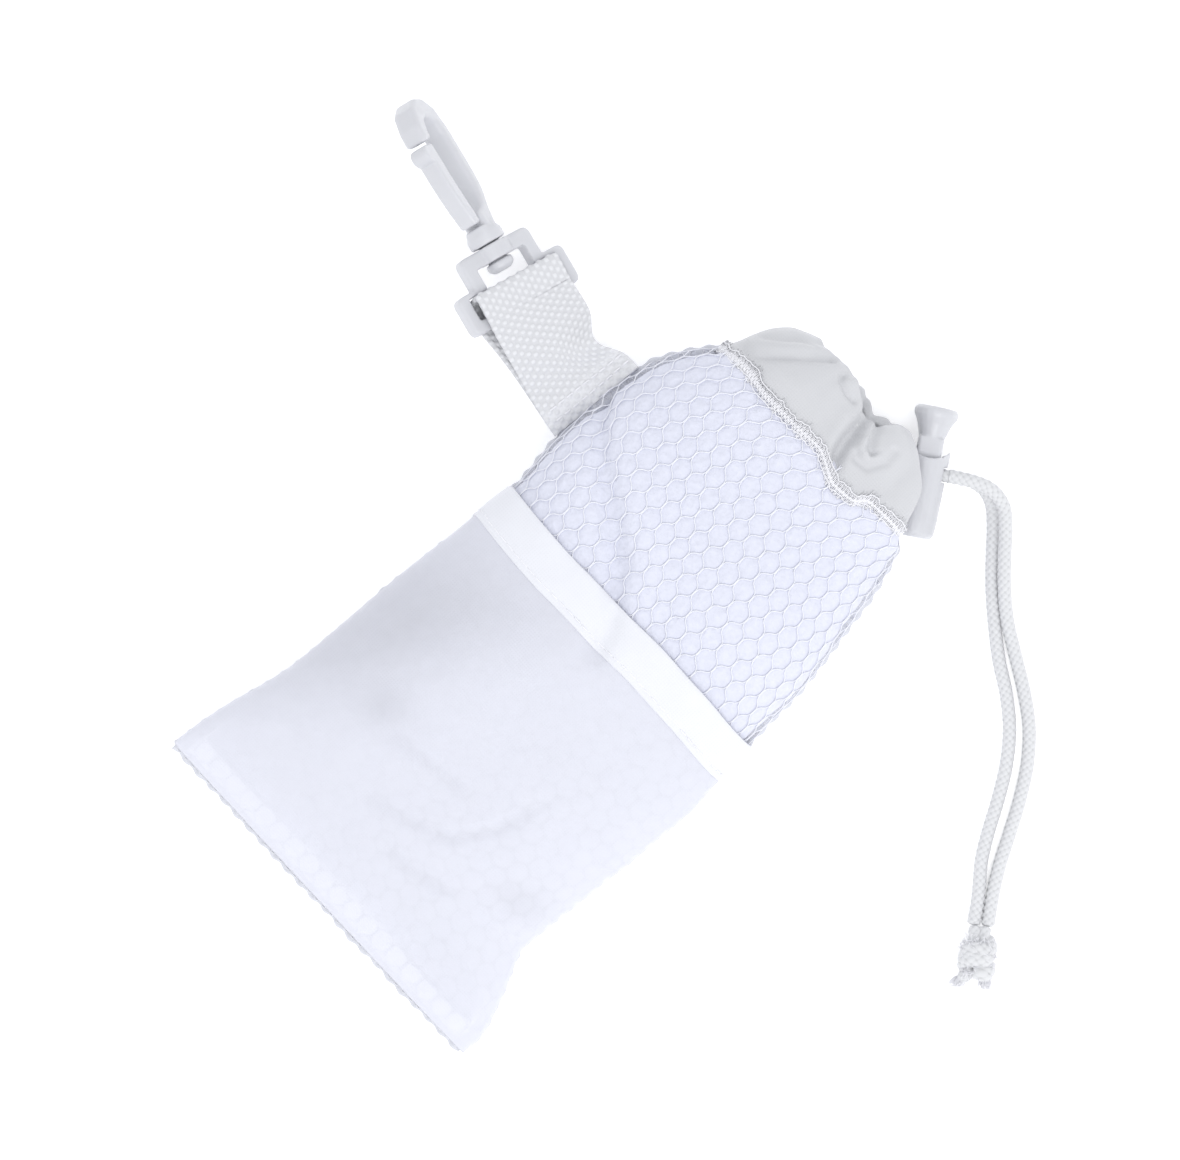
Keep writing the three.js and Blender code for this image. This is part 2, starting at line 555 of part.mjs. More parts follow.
function pouch() {
    const group = new THREE.Group();
    group.add(
        named('folded_towel', foldedTowel(), TERRY),
        named('back_mesh_panel', netPanel('back'), NET),
        named('front_mesh_panel', netPanel('front'), NET),
        named('left_side_seam', sideSeam(leftEdge, -1), NET),
        named('right_side_seam', sideSeam(rightEdge, 1), NET),
        named('bottom_seam', bottomSeam(), NET),
        named('pocket_panel', pocketPanel(), WOVEN),
        named('pocket_hem', pocketHem(), WOVEN),
        named('collar_seam', collarSeam(), NET),
        named('collar_channel', collarChannel(), WOVEN),
        named('webbing_tab', webbingTab(), TAPE),
    );
    return group;
}

function cords() {
    const group = new THREE.Group();
    const knot = named('cord_knot', cordKnot(), BRAID);
    knot.rotation.set(Math.PI / 2, THREE.MathUtils.degToRad(KNOT.yawDegrees + 90), 0);
    knot.position.set(KNOT.x, KNOT.y, KNOT.z);
    group.add(
        named('drawcord', heldDrawcord(), BRAID),
        named('cord_tail_left', tube(TAIL_LEFT, CORD_DIAMETER, TAIL_STEPS), BRAID),
        named('cord_tail_right', tube(TAIL_RIGHT, CORD_DIAMETER, TAIL_STEPS), BRAID),
        knot,
    );
    return group;
}

function cordLock() {
    const upright = new THREE.Group();
    upright.add(
        named('cord_lock_body', lockBody(), PLASTIC),
        named('cord_lock_plunger', lockPlunger(), PLASTIC),
        named('cord_lock_spring', lockSpring(), STEEL),
    );
    // Local z turns to the lock's axis, local x to the cord's way and local y downwards.
    const across = CORD_DIRECTION;
    const turn = new THREE.Matrix4().makeBasis(across, new THREE.Vector3().crossVectors(LOCK_AXIS, across), LOCK_AXIS);
    upright.setRotationFromMatrix(turn);
    upright.position.set(LOCK.x, LOCK.y, LOCK.z);
    return upright;
}

function clip() {
    const group = new THREE.Group();
    group.position.set(CLIP.x, CLIP.y, CLIP.z);
    group.rotation.z = THREE.MathUtils.degToRad(CLIP.yawDegrees);
    const eye = named('swivel_eye', swivelEye(), PLASTIC);
    eye.rotation.x = THREE.MathUtils.degToRad(CLIP.rollDegrees);
    const hook = new THREE.Group();
    hook.rotation.x = THREE.MathUtils.degToRad(CLIP.hookRollDegrees);
    hook.add(named('hook_body', hookBody(), PLASTIC), named('hook_gate', hookGate(), PLASTIC));
    group.add(eye, hook);
    return group;
}

const group = new THREE.Group();
group.name = 'drawstring_mesh_pouch';
group.position.y = -REST_CENTRE_Y;
group.add(pouch(), cords(), cordLock(), clip());

export default group;
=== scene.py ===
import math

import bpy
import numpy as np
from mathutils import Matrix, Vector


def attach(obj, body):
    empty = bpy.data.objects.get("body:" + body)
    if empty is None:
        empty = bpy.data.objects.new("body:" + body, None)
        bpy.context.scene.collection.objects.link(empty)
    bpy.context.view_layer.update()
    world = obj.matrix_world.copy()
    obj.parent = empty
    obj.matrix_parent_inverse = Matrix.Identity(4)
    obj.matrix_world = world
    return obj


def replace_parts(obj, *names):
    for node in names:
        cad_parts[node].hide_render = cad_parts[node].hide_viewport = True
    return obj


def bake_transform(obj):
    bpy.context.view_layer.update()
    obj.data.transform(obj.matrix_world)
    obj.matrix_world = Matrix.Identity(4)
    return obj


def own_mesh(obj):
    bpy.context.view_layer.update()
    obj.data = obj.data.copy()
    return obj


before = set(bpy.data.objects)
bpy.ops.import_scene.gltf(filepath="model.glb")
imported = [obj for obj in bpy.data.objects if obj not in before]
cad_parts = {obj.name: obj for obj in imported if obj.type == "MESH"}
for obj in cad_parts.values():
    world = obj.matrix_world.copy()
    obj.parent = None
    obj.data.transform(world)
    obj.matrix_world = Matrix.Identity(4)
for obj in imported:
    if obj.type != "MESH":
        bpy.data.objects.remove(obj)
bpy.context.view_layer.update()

RNG = np.random.default_rng(7)

# ---- Dimensions shared with the CAD model, in millimetres ----

REST_CENTRE_Y = 84.0

LEFT_EDGE = [
    (0, -50), (12, -48.4), (35, -43.8), (66, -42.2), (87, -40.4), (100, -39.4), (116, -41),
    (129, -41.2), (142, -39.6), (152, -35.6), (161, -29), (170, -25), (174, -21.5), (178, -15)
]
RIGHT_EDGE = [
    (0, 49.6), (4, 50), (15, 46.8), (24, 42.6), (28, 41.2), (35, 41.6), (52, 42.9), (76, 44.2),
    (100, 42.8), (118, 41.8), (135, 38.9), (150, 35.8), (156, 33.6), (161, 26.7), (170, 20.2),
    (174, 17.4), (178, 14.6)
]
SEAM_HEIGHT = [(0, 4.6), (20, 8), (60, 10.4), (150, 10.8), (161, 12), (178, 11.6)]
FRONT_HEIGHT = [
    (0, 6.8), (5, 11), (12, 17), (24, 24), (40, 29), (70, 32.5), (120, 32.5), (148, 29.5), (161, 27),
    (170, 24), (174, 21.5), (178, 18)
]
BACK_HEIGHT = [(0, 3), (6, 0.8), (12, 0), (150, 0), (156, 0.5), (161, 1.4), (170, 2), (174, 3), (178, 5)]
SECTION_POWER = 2 / 2.4
BACK_POWER = 0.6
BACK_SPREAD = 1.25

POCKET_HEIGHT = 100.0
HEM_WIDTH = 11.2
CORD_DIAMETER = 3.0
STRAND_OFFSET = 1.65

LOCK_CENTRE = np.array([27.3, 170.2, 7.0])
LOCK_AXIS = np.array([math.cos(math.radians(125.5)), math.sin(math.radians(125.5)), 0.0])
CORD_WAY = np.array([LOCK_AXIS[1], -LOCK_AXIS[0], 0.0])
LOCK_HOLE_AT = 5.4
LOCK_HALF_WIDTH = 5.25
SPRING_FOOT, SPRING_PRESSED = -8.0, 0.38    # its place on the lock's axis, and its share when pressed

CLIP_PLACE = np.array([-74.5, 133.2, 9.5])
CLIP_YAW, CLIP_ROLL = math.radians(167.2), math.radians(28)
BAR_CENTRE = -5.0

TAIL_LEFT = [
    (28.8, 178, 5.35), (31.2, 179.7, 5.35), (33.6, 181.3, 5.2), (37.2, 182.1, 3.8), (41, 181, 2.2),
    (44.8, 178, 1.6), (49.2, 173.6, 1.6), (54.8, 168.2, 1.6), (61.6, 162.6, 1.6), (69, 157.2, 1.6),
    (76.6, 152.6, 1.6), (83.2, 147.4, 1.6), (88.8, 141, 1.6), (93.4, 134, 1.6), (97.6, 126.8, 1.6),
    (101.4, 121.2, 1.7), (105.4, 116.8, 1.9), (108.4, 113.2, 2.2), (111, 109.6, 2.6)
]
TAIL_RIGHT = [
    (28.8, 178, 8.65), (31.2, 179.7, 8.65), (33.6, 181.3, 8.6), (38, 183.2, 7.8), (42.8, 182.8, 6.2),
    (47.2, 179.6, 4.9), (51.3, 175.5, 4.2), (56.4, 170.6, 3.7), (63.2, 165.2, 2.8), (71, 160.7, 1.9),
    (78.6, 156.4, 1.6), (85.8, 151.4, 1.6), (91.8, 145.2, 1.6), (96.8, 138, 1.6), (101, 130.8, 1.6),
    (104.6, 124.4, 1.7), (108, 119.2, 1.9), (111, 115.2, 2.2), (113.6, 111.8, 2.6)
]
KNOT_CENTRE = np.array([117.1, 105.3, 4.5])
KNOT_YAW = math.radians(-47.5)

# ---- Dimensions of the looks ----

CELL = 5.1                       # pitch of the knitted net's hexagonal cells
ROW = CELL * math.sqrt(3) / 2
NET_THREAD = 0.145               # radius
MESH_TOP = 161.0                 # the net runs from the bottom seam to the collar

TOWEL_FROM, TOWEL_TO = 7, 159.6
TOWEL_INSET = 4.4                # how far the towel's edges stay inside the net

POCKET_LIFT = 0.42               # the pocket's inner side over the net's middle surface
CLOTH_THICKNESS = 0.28
HEM_FOOT = POCKET_HEIGHT - HEM_WIDTH

BRAID_COUNT, BRAID_PITCH = 5, 1.7   # yarns round the cord each way, and their length along it
TAIL_RADIUS = 1.65                  # the loose ends are fuller than the cord held in the lock
KNOT_RADIUS = 1.95                  # of the thick turns round the knot
STRAND_GAP = 1.25                   # from the knot's middle line to each strand that enters it

COLLAR_DEPTH, DEEPEST_GATHER = 5.8, 2.4
PLEAT_SHARES = (-0.82, -0.5, -0.2, 0.14, 0.42, 0.7, 0.92)

WEBBING_WIDTH, WEBBING_PLY = 25.0, 1.2
BEAD_WIDTH, BEAD_LENGTH = 1.5, 0.98       # the webbing's weave
TAB_LENGTH = 28.7                         # from the seam to the eye's bar
TAB_SEAM = (-40.9, 128.9, 0.066)          # x and y of the seam end's middle, and its slope
TAB_OPEN, TAB_REACH = 3.35, 6.1           # the fold's half height and its reach past the bar
TAB_CLOSED = 0.62                         # the half height at the seam, where the plies all but touch
TAB_BENDS_FROM, TAB_BENDS_TO = (-41.2, 128.9, 10.75), (-46.4, 129.4, 10.75)


# ---- Meshes ----

def placed(points):
    """Millimetres in the pouch's coordinates as metres in the frame."""
    points = np.array(points, float)
    points[..., 1] -= REST_CENTRE_Y
    return points * 0.001


def added(name, data):
    """A new object of the scene."""
    thing = bpy.data.objects.new(name, data)
    bpy.context.scene.collection.objects.link(thing)
    return thing


def new_piece(name, points, faces, finish, material_slot, relief=None):
    """A smooth mesh object from an array of points in millimetres and a list of faces. Relief is a value at
    each point, either how far it stands out of its weave or a painted shade field, from which some finishes
    paint shade where it is low."""
    mesh = bpy.data.meshes.new(name)
    mesh.from_pydata(placed(points).tolist(), [], [list(face) for face in faces])
    mesh.update()
    mesh.polygons.foreach_set("use_smooth", [True] * len(mesh.polygons))
    piece = added(name, mesh)
    mesh.materials.append(finish)
    if relief is not None:
        mesh.attributes.new("relief", "FLOAT", "POINT").data.foreach_set("value", np.ravel(relief))
    return piece


def grid_faces(rows, columns, start=0, closed_rows=False, closed_columns=False):
    """Four-sided faces over a grid of rows x columns points."""
    r = np.arange(rows if closed_rows else rows - 1)
    c = np.arange(columns if closed_columns else columns - 1)
    r, c = np.meshgrid(r, c, indexing="ij")
    r2, c2 = (r + 1) % rows, (c + 1) % columns
    faces = np.stack([r * columns + c, r * columns + c2, r2 * columns + c2, r2 * columns + c], -1)
    return faces.reshape(-1, 4) + start


def tube_faces(rows, columns):
    """Faces over a grid that closes on itself across, with one more face over each of its ends."""
    faces = grid_faces(rows, columns, closed_columns=True).tolist()
    return faces + [list(range(columns))[::-1], list(range((rows - 1) * columns, rows * columns))]


def closed_sheet(outer, inner):
    """Points and faces of a thin closed sheet between two grids of points of the same size."""
    rows, columns = outer.shape[:2]
    count = rows * columns
    edge = np.concatenate([np.arange(columns), np.arange(1, rows) * columns + columns - 1,
                           (rows - 1) * columns + np.arange(columns - 2, -1, -1),
                           np.arange(rows - 2, 0, -1) * columns])
    following = np.roll(edge, -1)
    rim = np.stack([edge, edge + count, following + count, following], -1)
    front = grid_faces(rows, columns)
    back = grid_faces(rows, columns, count)[:, ::-1]
    points = np.concatenate([outer.reshape(-1, 3), inner.reshape(-1, 3)])
    return points, np.concatenate([front, back, rim])


def unit(vectors):
    return vectors / np.maximum(np.linalg.norm(vectors, axis=-1, keepdims=True), 1e-12)


def joined(parts):
    """Points and faces of several (points, faces) as one mesh."""
    points, faces, start = [], [], 0
    for part_points, part_faces in parts:
        points.append(part_points)
        faces += [[i + start for i in face] for face in part_faces]
        start += len(part_points)
    return np.concatenate(points), faces


def circle(count):
    """Angles spread evenly round a circle."""
    return 2 * np.pi * np.arange(count) / count


def rings(path, first, second, radius, turn):
    """Points round a line, at the angles turn between two directions across it."""
    across = first[:, None] * np.cos(turn)[None, :, None] + second[:, None] * np.sin(turn)[None, :, None]
    return (path[:, None] + np.asarray(radius)[..., None] * across).reshape(-1, 3)


def run_along(path):
    """The distance along a line at each of its points."""
    return np.concatenate([[0], np.cumsum(np.linalg.norm(np.diff(path, axis=0), axis=1))])


def thread(points, normals, radius, sides=5):
    """Points and faces of one round thread with closed ends."""
    tangent = unit(np.gradient(points, axis=0))
    normal = unit(normals - (normals * tangent).sum(-1, keepdims=True) * tangent)
    ring = rings(points, normal, np.cross(tangent, normal), radius, circle(sides))
    return ring, tube_faces(len(points), sides)


def threads_piece(name, lines, radius, finish, material_slot, sides=5):
    """Many threads as one piece. A line is (points, normals)."""
    points, faces = joined([thread(p, n, radius, sides) for p, n in lines])
    return new_piece(name, points, faces, finish, material_slot)


# ---- Curves and fields ----

def smooth_curve(points):
    """A smooth function through (x, value) points that never overshoots them."""
    xs, ys = np.array(points, float).T
    slopes = np.diff(ys) / np.diff(xs)
    before, after = np.r_[slopes[0], slopes], np.r_[slopes, slopes[-1]]
    same = before * after > 0
    tangents = np.where(same, 2 * before * after / np.where(same, before + after, 1), 0)

    def value(x):
        x = np.clip(x, xs[0], xs[-1])
        i = np.clip(np.searchsorted(xs, x, side="right") - 1, 0, len(xs) - 2)
        span, rise = xs[i + 1] - xs[i], ys[i + 1] - ys[i]
        t, a, b = (x - xs[i]) / span, span * tangents[i], span * tangents[i + 1]
        return ys[i] + t * (a + t * (3 * rise - 2 * a - b + t * (a + b - 2 * rise)))
    return value


left_edge, right_edge = smooth_curve(LEFT_EDGE), smooth_curve(RIGHT_EDGE)
seam_height, front_height, back_height = map(smooth_curve, (SEAM_HEIGHT, FRONT_HEIGHT, BACK_HEIGHT))


def smooth_step(low, high, value):
    t = np.clip((value - low) / (high - low), 0, 1)
    return t * t * (3 - 2 * t)


def line_distance(x, y, points):
    """Distance from (x, y) to a line through points, and how far along it, from 0 to 1."""
    best, along = np.full(np.shape(x), 1e9), np.zeros(np.shape(x))
    points = np.array(points, float)
    lengths = np.linalg.norm(np.diff(points, axis=0), axis=1)
    total, done = lengths.sum(), 0.0
    for a, b, length in zip(points[:-1], points[1:], lengths):
        t = np.clip(((x - a[0]) * (b[0] - a[0]) + (y - a[1]) * (b[1] - a[1])) / length ** 2, 0, 1)
        d = np.hypot(x - a[0] - t * (b[0] - a[0]), y - a[1] - t * (b[1] - a[1]))
        along = np.where(d < best, (done + t * length) / total, along)
        best = np.minimum(best, d)
        done += length
    return best, along


def furrow(x, y, points, width, taper=0.2):
    """1 along a line, falling to 0 over width on both sides and fading out at its two ends."""
    distance, along = line_distance(x, y, points)
    fade = smooth_step(0, taper, along) * smooth_step(0, taper, 1 - along) if taper else 1
    return np.exp(-(distance / width) ** 2) * fade


def blob(x, y, centre, radii, turn=0.0):
    """1 at a centre, falling to 0 outside an ellipse of these radii."""
    c, s = math.cos(math.radians(turn)), math.sin(math.radians(turn))
    dx, dy = x - centre[0], y - centre[1]
    return np.exp(-((dx * c + dy * s) / radii[0]) ** 2 - ((dy * c - dx * s) / radii[1]) ** 2)


def modelled(x, y, creases=(), lumps=()):
    """The sum of creases, each (height, line, width, taper) as in furrow(), and of lumps, each
    (height, centre, radii, turn) as in blob(). A height below 0 sinks in."""
    total = 0.0
    for height, line, width, taper in creases:
        total = total + height * furrow(x, y, line, width, taper)
    for height, centre, radii, turn in lumps:
        total = total + height * blob(x, y, centre, radii, turn)
    return total


def ripple(x, y, scale, seed, waves=7):
    """Smooth random waves of about unit height, the same at every run."""
    draw = np.random.default_rng(seed)
    total = 0
    for angle, phase, pitch in zip(draw.uniform(0, np.pi, waves), draw.uniform(0, 2 * np.pi, waves),
                                   draw.uniform(0.7, 1.6, waves)):
        way = x * np.cos(angle) + y * np.sin(angle)
        total = total + np.sin(2 * np.pi * way / (scale * pitch) + phase)
    return total / 3


def powered(value, power):
    """A power of value's size, with its sign: under 1 it squares a round section up."""
    return np.sign(value) * np.abs(value) ** power


# On the right the front's cloth leans out over the cord lock by this much.
overhang = smooth_curve([
    (148, 0), (154, 1.5), (158, 5), (162, 7.5), (166, 9), (170, 9.6), (174, 7), (178, 2.5)
])


def section_point(y, angle, seam_gap=0.0):
    """Points of the pouch's section: angle 0 is the right seam, a quarter turn the front."""
    y, angle = np.broadcast_arrays(np.asarray(y, float), np.asarray(angle, float))
    middle, half = (left_edge(y) + right_edge(y)) / 2, (right_edge(y) - left_edge(y)) / 2
    cosine, up, seam = np.cos(angle), np.sin(angle), seam_height(y)
    x = middle + half * powered(cosine, SECTION_POWER)
    x = x + overhang(y) * smooth_step(0.02, 0.6, up) * smooth_step(-0.05, 0.8, cosine)
    front = seam + seam_gap + (front_height(y) - seam - seam_gap) * np.abs(up) ** SECTION_POWER
    drop = np.minimum(1, BACK_SPREAD * np.abs(up) ** BACK_POWER)
    back = seam - seam_gap - (seam - seam_gap - back_height(y)) * drop
    return np.stack([x, y, np.where(up >= 0, front, back)], -1)


class Face:
    """The front or the back of the pouch, laid out flat: across is in millimetres from its
    middle line, to the right seam at half the width, and y runs from the bottom to the mouth."""

    def __init__(self, front, top=MESH_TOP):
        self.front, self.top = front, top
        self.rows, self.columns = 240, 240
        self.ys = np.linspace(0, top, self.rows)
        angles = np.linspace(1e-6, np.pi - 1e-6, 721)
        raw = section_point(self.ys[:, None], (1 if front else -1) * angles[None], 1.0)
        steps = np.linalg.norm(np.diff(raw, axis=1), axis=2)
        run = np.concatenate([np.zeros((self.rows, 1)), np.cumsum(steps, axis=1)], 1)
        self.widths = run[:, -1]
        self.points = np.empty((self.rows, self.columns, 3))
        for r in range(self.rows):
            wanted = np.linspace(0, self.widths[r], self.columns)
            for k in range(3):
                self.points[r, :, k] = np.interp(wanted, run[r], raw[r, :, k])
        along_y = np.gradient(self.points, axis=0)
        along_x = np.gradient(self.points, axis=1)
        normals = unit(np.cross(along_y, along_x))
        self.normals = normals if front else -normals

    def width(self, y):
        return np.interp(y, self.ys, self.widths)

    def at(self, across, y):
        """Points and outward normals at flat places."""
        across, y = np.broadcast_arrays(np.asarray(across, float), np.asarray(y, float))
        c = np.clip(0.5 - across / self.width(y), 0, 1) * (self.columns - 1)
        r = np.clip(y / self.top, 0, 1) * (self.rows - 1)
        c0, r0 = np.minimum(c.astype(int), self.columns - 2), np.minimum(r.astype(int), self.rows - 2)
        fc, fr = (c - c0)[..., None], (r - r0)[..., None]

        def mixed(grid):
            return ((grid[r0, c0] * (1 - fc) + grid[r0, c0 + 1] * fc) * (1 - fr)
                    + (grid[r0 + 1, c0] * (1 - fc) + grid[r0 + 1, c0 + 1] * fc) * fr)
        return mixed(self.points), unit(mixed(self.normals))


FRONT, BACK = Face(True), Face(False)


def inside(face, across, y):
    """How far flat places lie inside the face's side seams."""
    return face.width(y) / 2 - np.abs(across)


def seam_fade(face, across, y, reach=7.0):
    """0 at the side seams and at both ends, 1 well inside the face."""
    ends = smooth_step(0, reach, y) * smooth_step(0, reach, face.top - y)
    return smooth_step(0, reach, inside(face, across, y)) * ends


# What the stuffing leaves: long shallow dents in the pocket, a deep slack fold and a ridge beside
# it in the net above, and a few hollows. The forms are those of modelled().
POCKET_DENTS = [
    (-0.55, [(-20, 40), (-10, 41), (0, 43), (8, 44.5)], 1.6, 0.25),
    (-0.6, [(-15, 24), (-1, 28), (12, 33.5), (17, 43), (21, 63)], 1.7, 0.25),
    (-0.5, [(-0.5, 22), (9, 21.5), (18, 23.3), (25, 28.4)], 1.5, 0.25)
]
NET_FOLDS = [
    (-2.2, [(-50, 134), (-32, 121), (-14, 109), (-4, 98), (3, 84)], 3.0, 0.12),
    (1.0, [(-42, 138), (-26, 126), (-8, 113), (4, 100)], 4.5, 0.2)
]
HOLLOWS = [(-1.7, (-24, 45), (8, 7), 0), (-2.0, (-37, 57), (10, 20), -12), (-0.6, (35, 36), (7, 5), 20)]


def swell(face, across, y):
    """How far the filling pushes the cloth out or lets it sink, in millimetres."""
    if not face.front:
        return 0 * across
    lumps = 0.7 * ripple(across, y, 46, 3) + modelled(across, y, NET_FOLDS + POCKET_DENTS, HOLLOWS)
    return lumps * seam_fade(face, across, y)


def surface(face, across, y, lift=0.0):
    """Points of the cloth's surface, moved out along its normal by lift."""
    points, normals = face.at(across, y)
    return points + normals * np.asarray(swell(face, across, y) + lift)[..., None], normals


def smooth_path(points, step):
    """A smooth line through the points (a centripetal Catmull-Rom spline), sampled evenly."""
    p = np.array(points, float)
    p = np.vstack([2 * p[0] - p[1], p, 2 * p[-1] - p[-2]])
    knots = np.concatenate([[0], np.cumsum(np.linalg.norm(np.diff(p, axis=0), axis=1) ** 0.5)])

    def between(t, low, high, first, second):
        return ((knots[high] - t) * first + (t - knots[low]) * second) / (knots[high] - knots[low])
    fine = []
    for i in range(1, len(p) - 2):
        t = np.linspace(knots[i], knots[i + 1], 24, endpoint=False)[:, None]
        sides = [between(t, j, j + 1, p[j], p[j + 1]) for j in (i - 1, i, i + 1)]
        halves = [between(t, j, j + 2, *sides[j - i + 1:j - i + 3]) for j in (i - 1, i)]
        fine.append(between(t, i, i + 1, *halves))
    fine = np.vstack(fine + [p[-2:-1]])
    run = run_along(fine)
    wanted = np.linspace(0, run[-1], max(3, int(round(run[-1] / step)) + 1))
    return np.stack([np.interp(wanted, run, fine[:, k]) for k in range(3)], -1)


def carried_frames(path):
    """Two directions across a line at each of its points that turn as little as they can."""
    tangent = unit(np.gradient(path, axis=0))
    first = np.cross(tangent[0], [0.0, 0.0, 1.0])
    if np.linalg.norm(first) < 0.1:
        first = np.cross(tangent[0], [1.0, 0.0, 0.0])
    normals = [unit(first)]
    for t in tangent[1:]:
        normals.append(unit(normals[-1] - t * (normals[-1] @ t)))
    normals = np.array(normals)
    return normals, np.cross(tangent, normals)


def ridge(value):
    """Height of round threads side by side, one at each whole number."""
    return np.sqrt(np.maximum(0, 1 - (2 * (value - np.round(value))) ** 2))


def plain_weave(u, v):
    """Height of a plain weave: threads of one set follow u = 0, 1, 2..., of the other v."""
    over = ridge(u) * (0.55 + 0.45 * np.cos(np.pi * (v + np.round(u))))
    under = ridge(v) * (0.55 - 0.45 * np.cos(np.pi * (u + np.round(v))))
    return np.maximum(over, under)


def beads(u, v):
    """Height of a coarse weave whose warp stands up in round knots, every other row shifted."""
    return ridge(u) * (0.5 + 0.5 * np.cos(np.pi * (v + np.round(u))))


# ---- Materials ----

class Finish:
    """A material built from nodes."""

    def __init__(self, name, color, roughness, **sockets):
        self.material = bpy.data.materials.new(name)
        self.material.use_nodes = True
        self.nodes, self.links = self.material.node_tree.nodes, self.material.node_tree.links
        self.shader = self.nodes["Principled BSDF"]
        for socket, value in {"Base_Color": (*color, 1), "Roughness": roughness, **sockets}.items():
            self.shader.inputs[socket.replace("_", " ")].default_value = value
        self.color, self.height = color, None
        self.place = self.nodes.new("ShaderNodeTexCoord").outputs["Object"]

    def feed(self, socket, value):
        """Sets a socket to a number or a tuple, or links another node's output to it."""
        if isinstance(value, bpy.types.NodeSocket):
            self.links.new(value, socket)
        else:
            socket.default_value = value

    def node(self, kind, **inputs):
        """Adds a node. Its inputs go by their sockets' names, with _ for a space."""
        node = self.nodes.new("ShaderNode" + kind)
        for name, value in inputs.items():
            self.feed(node.inputs[name.replace("_", " ")], value)
        return node

    def noise(self, size, detail=2.0, stretch=None):
        """Noise whose grain is about size millimetres."""
        place = self.mapped(Scale=stretch) if stretch else self.place
        return self.node("TexNoise", Scale=1000 / size, Detail=detail, Vector=place).outputs["Fac"]

    def mapped(self, **change):
        return self.node("Mapping", Vector=self.place, **change).outputs["Vector"]

    def threads(self, pitch, turn):
        """Two crossed sets of waves, as of a plain cloth with this pitch in millimetres."""
        outputs = []
        for direction in ("X", "Y"):
            wave = self.node("TexWave", Scale=1000 / pitch / 20 * math.pi, Distortion=0.6, Detail_Scale=2.0,
                             Vector=self.mapped(Rotation=(0, 0, turn)))
            wave.bands_direction = direction
            outputs.append(wave.outputs["Fac"])
        return self.math("MAXIMUM", *outputs)

    def math(self, operation, first, second):
        node = self.node("Math")
        node.operation = operation
        self.feed(node.inputs[0], first)
        self.feed(node.inputs[1], second)
        return node.outputs[0]

    def ramp(self, value, low, high, stops=(0.35, 0.65)):
        """A value that runs between two colours or two numbers."""
        node = self.node("ValToRGB", Fac=value)
        for element, stop, shade in zip(node.color_ramp.elements, stops, (low, high)):
            element.position = stop
            element.color = (*shade, 1) if hasattr(shade, "__len__") else (shade, shade, shade, 1)
        return node.outputs["Color"]

    def mottled(self, value, amount, stops=(0.3, 0.7)):
        """Varies the base colour with value, down to 1 - amount of it."""
        dark = tuple(c * (1 - amount) for c in self.color)
        self.links.new(self.ramp(value, dark, self.color, stops), self.shader.inputs["Base Color"])
        return self

    def painted_groove_shade(self, value, amount, stops=(0.15, 0.8)):
        """Painted shade: darkens the colour where the mesh's relief attribute is low, such as the grooves
        of a weave that is modelled in the mesh, on top of value's grain.
        """
        node = self.node("Attribute")
        node.attribute_name = "relief"
        mixed = self.math("ADD", node.outputs["Fac"], self.math("MULTIPLY", value, 0.25))
        return self.mottled(mixed, amount, stops)

    def rough(self, value, low, high):
        self.links.new(self.ramp(value, low, high), self.shader.inputs["Roughness"])
        return self

    def bump(self, value, depth, strength=1.0):
        """Adds relief of this depth in millimetres."""
        below = {"Normal": self.height} if self.height else {}
        node = self.node("Bump", Strength=strength, Distance=depth * 0.001, Height=value, **below)
        self.height = node.outputs["Normal"]
        self.links.new(self.height, self.shader.inputs["Normal"])
        return self


def terry_finish():
    finish = Finish("terry", (0.685, 0.70, 0.80), 0.95, Sheen_Weight=0.2, Sheen_Roughness=0.6)
    loops = finish.noise(1.3, 3)
    finish.mottled(loops, 0.07)
    return finish.bump(loops, 0.4, 0.8).bump(finish.noise(0.35, 2), 0.1, 0.6).material


def net_finish():
    finish = Finish("net_thread", (0.84, 0.85, 0.91), 0.6, Sheen_Weight=0.1)
    twist = finish.noise(0.3, 2, (1, 0.3, 1))
    return finish.mottled(twist, 0.06).bump(twist, 0.015, 0.6).material


def cloth_finish(name, color, alpha, hollow_shade=0.0):
    finish = Finish(name, color, 0.72, Alpha=alpha, Sheen_Weight=0.2, Sheen_Roughness=0.4)
    weave = finish.threads(0.32, math.radians(3))
    grain = finish.math("ADD", finish.math("MULTIPLY", weave, 0.5), finish.noise(6, 4))
    # With a hollow amount, painted shade darkens the cloth where the mesh's relief is low; without it, the
    # weave and grain only vary the tone a little.
    if hollow_shade:
        finish.painted_groove_shade(finish.math("SUBTRACT", grain, 0.75), hollow_shade, (0.0, 1.0))
    else:
        finish.mottled(grain, 0.035, (0.5, 1.1))
    finish.rough(finish.noise(9, 3), 0.64, 0.8)
    return finish.bump(weave, 0.05, 0.5).bump(finish.noise(1.6, 3), 0.12, 0.35).material


def yarn_finish(name, color, stretch, groove_shade=0.0, depth=0.07):
    finish = Finish(name, color, 0.62, Sheen_Weight=0.15)
    strands = finish.noise(0.22, 3, stretch)
    # With a groove amount, painted shade darkens the grooves read from the mesh's relief; without it, the
    # strands only vary in tone.
    if groove_shade:
        finish.painted_groove_shade(strands, groove_shade)
    else:
        finish.mottled(strands, 0.09)
    finish.rough(finish.noise(3, 2), 0.5, 0.72)
    return finish.bump(strands, depth, 0.7).material


